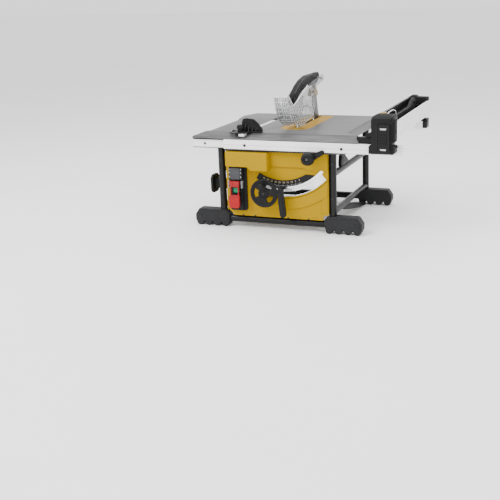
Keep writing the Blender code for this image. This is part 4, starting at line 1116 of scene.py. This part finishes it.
def make_fence_latch():
    """The block that clasps the front rail, with its cheeks, ribs and jaws."""
    low, high = node_box("fence_front_latch")
    body_x = 0.416
    z0 = node_box("fence_beam")[0].z
    under = [(-0.3005, 0.287), (-0.3005, z0), (-0.262, z0)]      # clears the front rail

    def latch(bm):
        side = [(-0.328, 0.287)] + under
        side += [(-0.262, 0.4), (-0.268, 0.407), (-0.323, 0.407), (-0.333, 0.398), (-0.333, 0.292)]
        prism(bm, side, "x", low.x + 0.0045, body_x - 0.0045)
        cheek = [(-0.331, 0.287)] + under
        cheek += [(-0.262, 0.396), (-0.27, 0.403), (-0.322, 0.403), (-0.332, 0.394)]
        for a, b in ((low.x, low.x + 0.0055), (body_x - 0.0055, body_x)):
            prism(bm, softened(cheek, 0.003), "x", a, b)
        block(bm, (body_x - 0.001, low.y, 0.292), (high.x - 0.0012, -0.3012, 0.316))
        block(bm, (body_x - 0.001, low.y + 0.001, 0.326), (high.x - 0.0012, -0.3012, 0.4))
        for z in (0.3905, 0.3975):
            block(bm, (low.x + 0.006, low.y - 0.001, z), (body_x - 0.006, low.y + 0.0015, z + 0.003))
        for y in spaced(-0.318, -0.272, 0.008):
            block(bm, (low.x + 0.01, y, high.z - 0.001), (body_x - 0.01, y + 0.004, high.z + 0.0012))

    piece("fence_front_latch_skin", latch, "black", "fence", ("fence_front_latch",),
          0.0012, 3)

    def latch_trim(bm):
        block(bm, (low.x - 0.009, -0.329, 0.288), (low.x + 0.002, -0.302, 0.3125))
        block(bm, (low.x - 0.003, -0.315, 0.342), (low.x + 0.001, -0.275, 0.39))
        for y in (-0.328, -0.3185, -0.309):
            block(bm, (high.x - 0.002, y, 0.329), (high.x - 0.0002, y + 0.0045, 0.396))
        for x in (body_x, body_x + 0.0038):
            block(bm, (x, low.y - 0.0006, 0.33), (x + 0.0018, low.y + 0.0015, 0.394))
        rod(bm, (high.x - 0.002, -0.316, 0.312), (high.x + 0.0045, -0.316, 0.312), 0.0045, 20)

    piece("fence_latch_jaws", latch_trim, "black", "fence", bevel=0.0008, segments=3)


def make_fence_clip():
    def clip(bm):
        block(bm, (0.358, -0.274, 0.4066), (0.376, -0.264, 0.4092))
        block(bm, (0.36, -0.26, 0.377), (0.374, -0.24, 0.399))
        block(bm, (0.358, -0.266, 0.396), (0.376, -0.238, 0.408))

    piece("fence_clip", clip, "brass", "fence", bevel=0.0012, segments=3)

    def wire(bm):
        tube(bm, [(0.379, -0.26, 0.398), (0.383, -0.245, 0.408), (0.387, -0.21, 0.411),
                  (0.389, -0.18, 0.404), (0.389, -0.17, 0.39)], 0.0016, 10)

    piece("fence_wire", wire, "bright", "fence", bevel=0)


def make_fence_lever():
    low, high = node_box("fence_latch_lever")
    slots = ((0.3, 0.3065), (0.3645, 0.371))

    def lever(bm):
        windows = [rounded((0.376, a), (0.397, b), 0.0018, 3) for a, b in slots]
        outline = rounded((low.x, low.z), (high.x, high.z), 0.005, 5)
        prism(bm, outline, "y", low.y + 0.0026, high.y, windows)
        for a, b in ((low.x + 0.0005, low.x + 0.006), (high.x - 0.006, high.x - 0.0005)):
            side = rounded((a, low.z + 0.003), (b, high.z - 0.002), 0.002, 3)
            prism(bm, side, "y", low.y, low.y + 0.004)
        for k in range(5):
            z = 0.319 + k * 0.0085
            rib = rounded((0.373, z), (0.399, z + 0.0046), 0.0016, 3)
            prism(bm, rib, "y", low.y + 0.0004, low.y + 0.004)

    piece("fence_latch_lever_skin", lever, "black", "fence_lever", ("fence_latch_lever",),
          0.0008)

    def slot_backs(bm):
        """Pale plates that close the lever's two slots."""
        for a, b in slots:
            block(bm, (0.3765, high.y - 0.0016, a + 0.0004), (0.3965, high.y - 0.0004, b - 0.0004))

    piece("fence_latch_slot_backs", slot_backs, "rail", "fence_lever", bevel=0)


def make_fence_rear_bracket():
    dress("fence_rear_bracket", "black", 0.002, 3)
    low, high = node_box("fence_rear_bracket")

    def bracket_ribs(bm):
        for x in (0.37, 0.402):
            screw_head(bm, (x, high.y - 0.0004, 0.365), TO_REAR, 0.0045, 0.002)
        block(bm, (0.356, low.y - 0.0016, 0.38), (0.412, low.y + 0.001, 0.399))
        block(bm, (0.36, high.y - 0.001, 0.38), (0.412, high.y + 0.0016, 0.399))

    piece("fence_rear_bracket_ribs", bracket_ribs, "black", "fence", bevel=0.001)


def make_push_stick():
    low, high = node_box("push_stick")

    def stick(bm):
        shape = [(-0.215, 0.354), (0.06, 0.354), (0.11, 0.366), (0.15, 0.366), (0.168, 0.38), (0.158, 0.402),
                 (0.13, 0.409), (0.095, 0.4), (0.06, 0.384), (-0.175, 0.384), (-0.185, 0.37), (-0.215, 0.368)]
        hole = softened([(0.118, 0.38), (0.146, 0.38), (0.15, 0.388), (0.142, 0.394), (0.12, 0.392)], 0.003)
        prism(bm, softened(shape, 0.008), "x", low.x, high.x, [hole])

    piece("push_stick_skin", stick, "soft_black", "push_stick", ("push_stick",), 0.0016, 3)


def make_fence_fittings():
    """The brass clip over the tray, and the flip foot beside the beam."""
    x0, _, z0 = node_box("fence_beam")[0]
    tray_top = node_box("fence_tray")[1].z

    def brass_clip(bm):
        block(bm, (0.3615, -0.25, tray_top - 0.0004), (0.406, -0.237, tray_top + 0.0012))
        prism(bm, softened([(-0.245, 0.3765), (-0.218, 0.3765), (-0.226, 0.3935), (-0.24, 0.396)], 0.003),
              "x", 0.353, 0.3548)

    piece("fence_tray_clip", brass_clip, "brass", "fence", bevel=0.0004)

    def flip_foot(bm):
        shape = softened([(x0 - 0.03, z0 + 0.0006), (x0 - 0.0005, z0 + 0.0006), (x0 - 0.0005, z0 + 0.016),
                          (x0 - 0.012, z0 + 0.016), (x0 - 0.024, z0 + 0.0085)], 0.002)
        prism(bm, shape, "y", -0.296, -0.25)

    piece("fence_flip_foot", flip_foot, "black", "fence", bevel=0.001)


# ---- blade, guard ----
def make_blade():
    teeth = 24

    def disc(bm):
        points = []
        for i in range(teeth):
            start = 360.0 * i / teeth
            for depth, turn in ((0.0012, 0.0), (0.003, 2.2), (0.0088, 5.0), (0.0125, 6.6), (0.013, 8.6),
                                (0.0105, 10.6), (0.0055, 12.2), (0.004, 14.2)):
                radius = BLADE_R - depth
                angle = math.radians(start - turn)
                points.append((ARBOR_Y + radius * math.cos(angle), ARBOR_Z + radius * math.sin(angle)))
        holes = [circle((ARBOR_Y, ARBOR_Z), 0.0075)]
        for k in range(6):
            spot = arc((ARBOR_Y, ARBOR_Z), 0.062, 60 * k + 20, 60 * k + 20, 1)[0]
            holes.append(circle(spot, 0.003, 12))
        prism(bm, points, "x", BLADE_X - 0.0009, BLADE_X + 0.0009, holes)

    piece("saw_blade_disc", disc, "blade", "arbor", ("saw_blade",), 0)

    def tips(bm):
        outer, inner = BLADE_R - 0.0002, BLADE_R - 0.0052
        corners = ((outer, 0.0009), (outer, -0.0016), (inner, -0.0012), (inner, 0.0006))
        for c, s in around(teeth):
            shape = [(ARBOR_Y + out * c - along * s, ARBOR_Z + out * s + along * c) for out, along in corners]
            prism(bm, shape, "x", BLADE_X - 0.00115, BLADE_X + 0.00115)

    piece("saw_blade_tips", tips, "carbide", "arbor", bevel=0)
    for node in ("arbor_flange", "arbor_nut", "arbor_shaft"):
        dress(node, "steel", 0.0003)


def inside_spans(outline, start, end):
    """Stretches of the line from start to end that lie inside the outline, as pairs of points."""
    p, q = Vector(start), Vector(end)
    way = q - p
    cuts = []
    for i in range(len(outline)):
        a, b = Vector(outline[i - 1]), Vector(outline[i])
        edge = b - a
        cross = way.x * edge.y - way.y * edge.x
        if abs(cross) < 1e-12:
            continue
        t = ((a - p).x * edge.y - (a - p).y * edge.x) / cross
        s = ((a - p).x * way.y - (a - p).y * way.x) / cross
        if 0 <= s < 1:
            cuts.append(t)
    cuts.sort()
    return [(p + way * cuts[i], p + way * cuts[i + 1]) for i in range(0, len(cuts) - 1, 2)]


SHIELD = [(-0.272, 0.452), (-0.262, 0.416), (-0.238, 0.374), (-0.2, 0.353), (-0.141, 0.3375), (-0.12, 0.3375),
          (-0.054, 0.347), (-0.009, 0.352), (0.016, 0.389), (0.019, 0.432), (0.045, 0.455), (0.085, 0.464)]
SHIELD_TOP = [(0.06, 0.484), (0.0, 0.477), (-0.062, 0.467), (-0.14, 0.437), (-0.213, 0.4146), (-0.255, 0.449)]
SHIELD_PIN = (0.105, 0.478)
CLEAR_WINDOW = ((-0.118, 0.4215), (0.13, 0.5))     # (y, z) corners of the part of a wall that has no ribs


def shield_outline():
    return SHIELD + arc(SHIELD_PIN, 0.013, -70, 90, 10) + SHIELD_TOP


def in_clear_window(point):
    (y0, z0), (y1, z1) = CLEAR_WINDOW
    return y0 < point.x < y1 and z0 < point.y < z1


def hatch(bm, outline, low, high, spacing, width):
    """Crossed ribs from x = low to high, inside a shield's outline and clear of the window."""
    y_from, y_to = -0.4, 0.2        # the lines start and end outside any outline
    for slope in (0.9, -1.25):
        for offset in spaced(-1.0, 1.5, spacing * math.hypot(1, slope)):
            start = (y_from, offset + y_from * slope)
            end = (y_to, offset + y_to * slope)
            for a, b in inside_spans(outline, start, end):
                pieces = max(1, round((b - a).length / 0.004))
                points = [a + (b - a) * i / pieces for i in range(pieces + 1)]
                points = [p for p in points if not in_clear_window(p)]
                if len(points) < 3:
                    continue
                side = Vector((a.y - b.y, b.x - a.x)).normalized() * width / 2
                first, last = points[0], points[-1]
                corners = [first - side, last - side, last + side, first + side]
                prism(bm, [tuple(c) for c in corners], "x", low, high)


def make_shield(name, flange_to):
    """A clear wall on one side of the blade, with a flange across its front edge."""
    low, high = node_box(name)
    outward = -1 if low.x < BLADE_X - 0.01 else 1
    outer = low.x if outward < 0 else high.x
    inner = outer - 0.0025 * outward
    outline = shield_outline()
    front = SHIELD[:4]
    a, b = sorted((inner, flange_to))

    def skin(bm):
        prism(bm, outline, "x", *sorted((inner, outer)), [circle(SHIELD_PIN, 0.0075)])
        behind = [(y + 0.0025, z + 0.0022) for y, z in reversed(front)]
        prism(bm, front + behind, "x", a, b)

    piece(name + "_skin", skin, "clear", name, (name,), 0.0005)

    def ribs(bm):
        if outward > 0:
            hatch(bm, outline, outer - 0.0008, outer, 0.015, 0.0022)
        for path, radius in ((SHIELD[:-2], 0.0007), (SHIELD_TOP[2:], 0.0013)):
            tube(bm, [(outer - 0.0006 * outward, y, z + 0.0026) for y, z in path], radius, 8)
        for (y0, z0), (y1, z1) in zip(front, front[1:]):
            steps = max(2, int(math.hypot(y1 - y0, z1 - z0) / 0.016))
            for i in range(steps + 1):
                t = i / steps
                y, z = y0 + (y1 - y0) * t, z0 + (z1 - z0) * t
                tube(bm, [(a + 0.0006, y + 0.0004, z + 0.0012), (b, y + 0.0004, z + 0.0012)], 0.0009, 6)
        for k in range(4):
            x = a + 0.0008 + (b - a - 0.0016) * k / 3
            tube(bm, [(x, y + 0.0003, z + 0.0011) for y, z in front], 0.0008, 6)

    # The ribs' near-white colour is a painted highlight.
    piece(name + "_ribs", ribs, "rib", name, bevel=0)


def make_guard_arm():
    low, high = node_box("guard_arm")
    narrow = BLADE_X + 0.0053
    split = 0.044
    side = low.x + 0.001

    def arm(bm):
        """A wide front part over the blade, and a narrow rear part beside the riving knife."""
        front = [(split, 0.4985), (-0.023, 0.498), (-0.075, 0.488), (-0.115, 0.474), (-0.16, 0.45),
                 (-0.1735, 0.438), (-0.1715, 0.4165), (-0.163, 0.4115), (-0.152, 0.4145), (-0.112, 0.4365),
                 (-0.072, 0.452), (-0.016, 0.46), (split, 0.457)]
        prism(bm, softened(front, 0.008, 5), "x", side, high.x - 0.001)
        rear = [(split - 0.01, 0.458), (0.1, 0.459), (0.122, 0.468), (0.1285, 0.478), (0.13, 0.4885),
                (0.122, 0.4975), (0.1, 0.4985), (split - 0.01, 0.498)]
        prism(bm, softened(rear, 0.008, 5), "x", side, narrow - 0.0004)

    piece("guard_arm_skin", arm, "glossy", "guard", ("guard_arm",), 0.003, 5)

    def grip(bm):
        pad = [(-0.154, 0.43), (-0.112, 0.449), (-0.07, 0.465), (-0.05, 0.48), (-0.075, 0.478),
               (-0.118, 0.462), (-0.154, 0.444)]
        for a, b in ((low.x, low.x + 0.002), (high.x - 0.002, high.x)):
            prism(bm, softened(pad, 0.004), "x", a, b)

    piece("guard_arm_grip", grip, "soft_black", "guard", bevel=0.0006)

    def edges(bm):
        # Grey rods along the arm's upper edges are painted highlights on the glossy black.
        path = [(split - 0.004, 0.4969), (-0.023, 0.4959), (-0.075, 0.4859), (-0.115, 0.4719),
                (-0.156, 0.4496)]
        for x in (low.x + 0.0022, high.x - 0.0022):
            tube(bm, [(x, y, z) for y, z in path], 0.0013, 10)

    piece("guard_arm_painted_highlights", edges, "grey", "guard", bevel=0)

    def knob(bm):
        turned(bm, [(0, 0.005), (0.006, 0.005), (0.011, 0.0036), (0.013, 0.001), (0.013, 0), (0, 0)],
               (low.x + 0.0012, 0.112, 0.4845), (-1, 0, 0), 32)
        tube(bm, circle_path((0.112, 0.4845, narrow - 0.0004), 0.01, "x", 32), 0.001, 8, True)

    piece("guard_arm_knob", knob, "black", "guard", bevel=0.0004)


def make_riving_parts():
    """The riving knife, the pawls with their bracket and springs, and the shields' pin and bush."""
    dress("shield_pin", "steel", 0.0004)
    dress("left_shield_bush", "brass", 0.0002)
    dress("riving_knife", "knife", 0.0004)
    dress("anti_kickback_pawls", "brass", 0.0003)

    def pawl_bracket(bm):
        inner, outer = 0.0342, 0.0356
        plate = [(-0.012, 0.426), (0.018, 0.419), (0.056, 0.419), (0.066, 0.436), (0.04, 0.452),
                 (0.0, 0.448)]
        prism(bm, softened(plate, 0.004), "x", inner, outer)
        stud = [(0, 0.005), (0.005, 0.005), (0.0065, 0.0036), (0.0065, 0), (0, 0)]
        for y, z in ((0.01, 0.435), (0.046, 0.434)):
            turned(bm, stud, (outer, y, z), (1, 0, 0), 20)

    piece("pawl_bracket", pawl_bracket, "brass", "lift", bevel=0.0004)

    def pawl_springs(bm):
        for z in (0.426, 0.444):
            for k in range(7):
                ring = circle_path((0.012 + k * 0.0042, z, 0.0378), 0.0032, "x", 14)
                tube(bm, ring, 0.0009, 6, True)

    piece("pawl_springs", pawl_springs, "bright", "lift", bevel=0)


def make_guard():
    make_shield("left_shield", BLADE_X - 0.001)
    make_shield("right_shield", BLADE_X + 0.001)
    make_guard_arm()
    make_riving_parts()


# ---- miter gauge ----
MITER_PIVOT = (node_centre("miter_bar")[0], -0.265)


def make_miter_bar():
    low, high = node_box("miter_bar")

    def bar(bm):
        section = [(low.x, low.z), (high.x, low.z), (high.x, high.z - 0.0008), (high.x - 0.0008, high.z),
                   (low.x + 0.0008, high.z), (low.x, high.z - 0.0008)]
        prism(bm, section, "y", low.y, high.y)

    piece("miter_bar_skin", bar, "bar", "miter_bar", ("miter_bar",), 0.0003)

    heads = [(MITER_PIVOT[0], y, high.z - 0.001) for y in (low.y + 0.0085, -0.18, -0.09, -0.005)]
    screws("miter_bar_screws", "miter_bar", heads, UP, 0.0034, 0.0012)


def make_miter_head():
    low, high = node_box("miter_head")
    px, py = MITER_PIVOT

    def head(bm):
        base = arc((px, py), 0.052, 165, 255, 22)
        base += [(px + 0.01, py - 0.032), (px + 0.028, py - 0.004), (px + 0.06, py - 0.004),
                 (px + 0.06, py + 0.012), (px - 0.014, py + 0.012)]
        slot = band((px, py), 0.044, 0.0375, 172, 246, 14)
        prism(bm, softened(base, 0.0012, 2), "z", low.z, 0.3375, [slot])
        face = [(-0.012, 0.3365), (0.06, 0.3365), (0.06, 0.344), (0.044, 0.364), (0.03, 0.376),
                (0.004, high.z), (-0.008, 0.3765), (-0.012, 0.366)]
        inset = [(-0.007, 0.34), (0.054, 0.34), (0.052, 0.345), (0.028, 0.3715), (0.004, 0.3745),
                 (-0.007, 0.372)]
        for outline, front, back in ((face, py + 0.0045, py + 0.012), (inset, py + 0.0022, py + 0.005)):
            prism(bm, softened([(px + u, z) for u, z in outline], 0.003), "y", front, back)
        for k in range(4):
            x = px + 0.002 + 0.0125 * k
            rib = [(py - 0.012 + k * 0.002, 0.337), (py + 0.004, 0.337), (py + 0.004, 0.365 - k * 0.0055)]
            prism(bm, rib, "x", x, x + 0.0028)

    piece("miter_head_skin", head, "black", "miter_head", ("miter_head",), 0.0007)

    def marks(bm):
        for k in range(15):
            angle = 172 + k * 5.2
            inner = 0.0465 if k % 2 else 0.045
            prism(bm, band((px, py), 0.0505, inner, angle - 0.5, angle + 0.5, 1), "z", 0.3374, 0.3377)

    piece("miter_head_marks", marks, "pale", "miter_head", bevel=0)


def make_miter_knob():
    low, high = node_box("miter_knob")
    x, y, _ = node_centre("miter_knob")

    def knob(bm):
        top = high.z - low.z
        turned(bm, [(0, top), (0.006, top), (0.0086, top - 0.0012), (0.0102, top - 0.004), (0.011, 0.0105),
                    (0.0085, 0.0082), (0.008, 0), (0, 0)], (x, y, low.z), UP, 36)
        for c, s in around(12):
            low_end = (x + 0.0104 * c, y + 0.0104 * s, low.z + 0.0105)
            high_end = (x + 0.0093 * c, y + 0.0093 * s, high.z - 0.004)
            rod(bm, low_end, high_end, 0.0012, 8)

    piece("miter_knob_skin", knob, "black", "miter_knob", ("miter_knob",), 0)


# ---- inside and small fittings ----
def make_inside():
    """The mechanism and the small fittings keep their CAD shapes. A thread and the motor's ribs are added."""
    for node in ("bevel_carriage", "front_trunnion", "rear_trunnion", "lift_casting"):
        dress(node, "cast", 0.0008)
    for node in ("guide_column_front", "guide_column_rear", "lift_screw"):
        dress(node, "steel", 0.0003)
    dress("motor_armature", "copper", 0.0004)
    dress("motor_housing", "black", 0.0008)
    dress("blade_shroud", "charcoal", 0.0006)
    for node in ("cord_cleat", "cord_gland", "storage_hook", "storage_bracket"):
        dress(node, "black", 0.0012, 3)

    def thread(bm):
        low, high = node_box("lift_screw")
        x, y, _ = node_centre("lift_screw")
        steps, pitch, radius = 14, 0.0025, 0.006
        path = []
        for i, z in enumerate(spaced(low.z + 0.022, high.z - 0.002, pitch / steps)):
            angle = 2 * math.pi * i / steps
            path.append((x + radius * math.cos(angle), y + radius * math.sin(angle), z))
        tube(bm, path, 0.0007, 5)

    piece("lift_screw_thread", thread, "steel", "lift_screw", bevel=0)

    def fins(bm):
        low, high = node_box("motor_housing")
        _, y, z = node_centre("motor_housing")
        radius = (high.z - low.z) / 2
        for c, s in around(18):
            rib_y, rib_z = y + radius * c, z + radius * s
            rod(bm, (low.x + 0.016, rib_y, rib_z), (high.x - 0.01, rib_y, rib_z), 0.0014, 6)

    piece("motor_housing_ribs", fins, "black", "lift", bevel=0)


# ---- stage ----
def make_stage():
    """A pale floor, an even white world and four soft lamps."""
    mesh = bpy.data.meshes.new("floor")
    bm = bmesh.new()
    size = 30.0     # half the floor's side
    bm.faces.new([bm.verts.new((sx * size, sy * size, 0)) for sx, sy in ((-1, -1), (1, -1), (1, 1), (-1, 1))])
    bm.to_mesh(mesh)
    bm.free()
    floor = bpy.data.objects.new("floor", mesh)
    bpy.context.scene.collection.objects.link(floor)
    f = Finish("floor_paper", Roughness=0.9, Specular_IOR_Level=0.1)
    f.colour(f.ramp(f.noise(2.0, 3.0), [(0.3, (0.92, 0.92, 0.92)), (0.7, (0.94, 0.94, 0.94))]))
    floor.data.materials.append(f.mat)

    world = bpy.data.worlds.new("studio")
    world.use_nodes = True
    background = world.node_tree.nodes["Background"]
    background.inputs["Color"].default_value = (1.0, 1.0, 1.0, 1)
    background.inputs["Strength"].default_value = 1.5
    bpy.context.scene.world = world

    aim = Vector((0, 0, 0.25))
    for name, at, size, power in (
        ("key", (-1.3, -1.9, 2.3), 1.4, 72),
        ("fill", (2.2, -1.2, 1.3), 1.6, 24),
        ("top", (0.0, 0.3, 2.6), 2.2, 46),
        ("front", (0.5, -2.7, 0.6), 1.2, 12),
    ):
        light = bpy.data.lights.new(name, "AREA")
        light.size = size
        light.energy = power
        lamp = bpy.data.objects.new(name, light)
        lamp.location = at
        lamp.rotation_mode = "QUATERNION"
        lamp.rotation_quaternion = (Vector(at) - aim).to_track_quat("Z", "Y")
        bpy.context.scene.collection.objects.link(lamp)


def make_camera():
    """The camera stands at the operator's right and looks down to the left."""
    place = Vector((1.0008, -2.8622, 0.7874))
    yaw, pitch, roll = (math.radians(a) for a in (-20.85, -15.16, -1.66))
    focal_px, frame_px = 844.8, 500.0
    shift = 0.06
    forward = Vector((math.sin(yaw) * math.cos(pitch), math.cos(yaw) * math.cos(pitch), math.sin(pitch)))
    right = Vector((math.cos(yaw), -math.sin(yaw), 0))
    up = right.cross(forward)
    tilted_right = right * math.cos(roll) + up * math.sin(roll)
    tilted_up = up * math.cos(roll) - right * math.sin(roll)
    data = bpy.data.cameras.new("camera")
    data.sensor_width = 36.0
    data.lens = focal_px / frame_px * data.sensor_width
    data.shift_x = -shift
    data.shift_y = -shift
    data.clip_start = 0.05
    data.clip_end = 100.0
    camera = bpy.data.objects.new("camera", data)
    turn = Matrix((tilted_right, tilted_up, -forward)).transposed()
    camera.matrix_world = Matrix.Translation(place + ORIGIN) @ turn.to_4x4()
    bpy.context.scene.collection.objects.link(camera)
    bpy.context.scene.camera = camera


STEPS = (
    make_camera, make_stage, make_table,
    make_sliding_front_rail, make_fixed_front_rail, make_rear_rails, make_rail_drive, make_rail_lock,
    make_cage, make_feet, make_front_panel, make_bevel_scale,
    make_switch_housing, make_stop_paddle, make_start_button,
    make_hand_wheel, make_crank_knob, make_bevel_lock,
    make_fence_beam, make_fence_tray, make_fence_latch, make_fence_clip, make_fence_lever,
    make_fence_rear_bracket, make_push_stick, make_fence_fittings,
    make_blade, make_guard, make_miter_bar, make_miter_head, make_miter_knob, make_inside,
)
for step in STEPS:
    step()
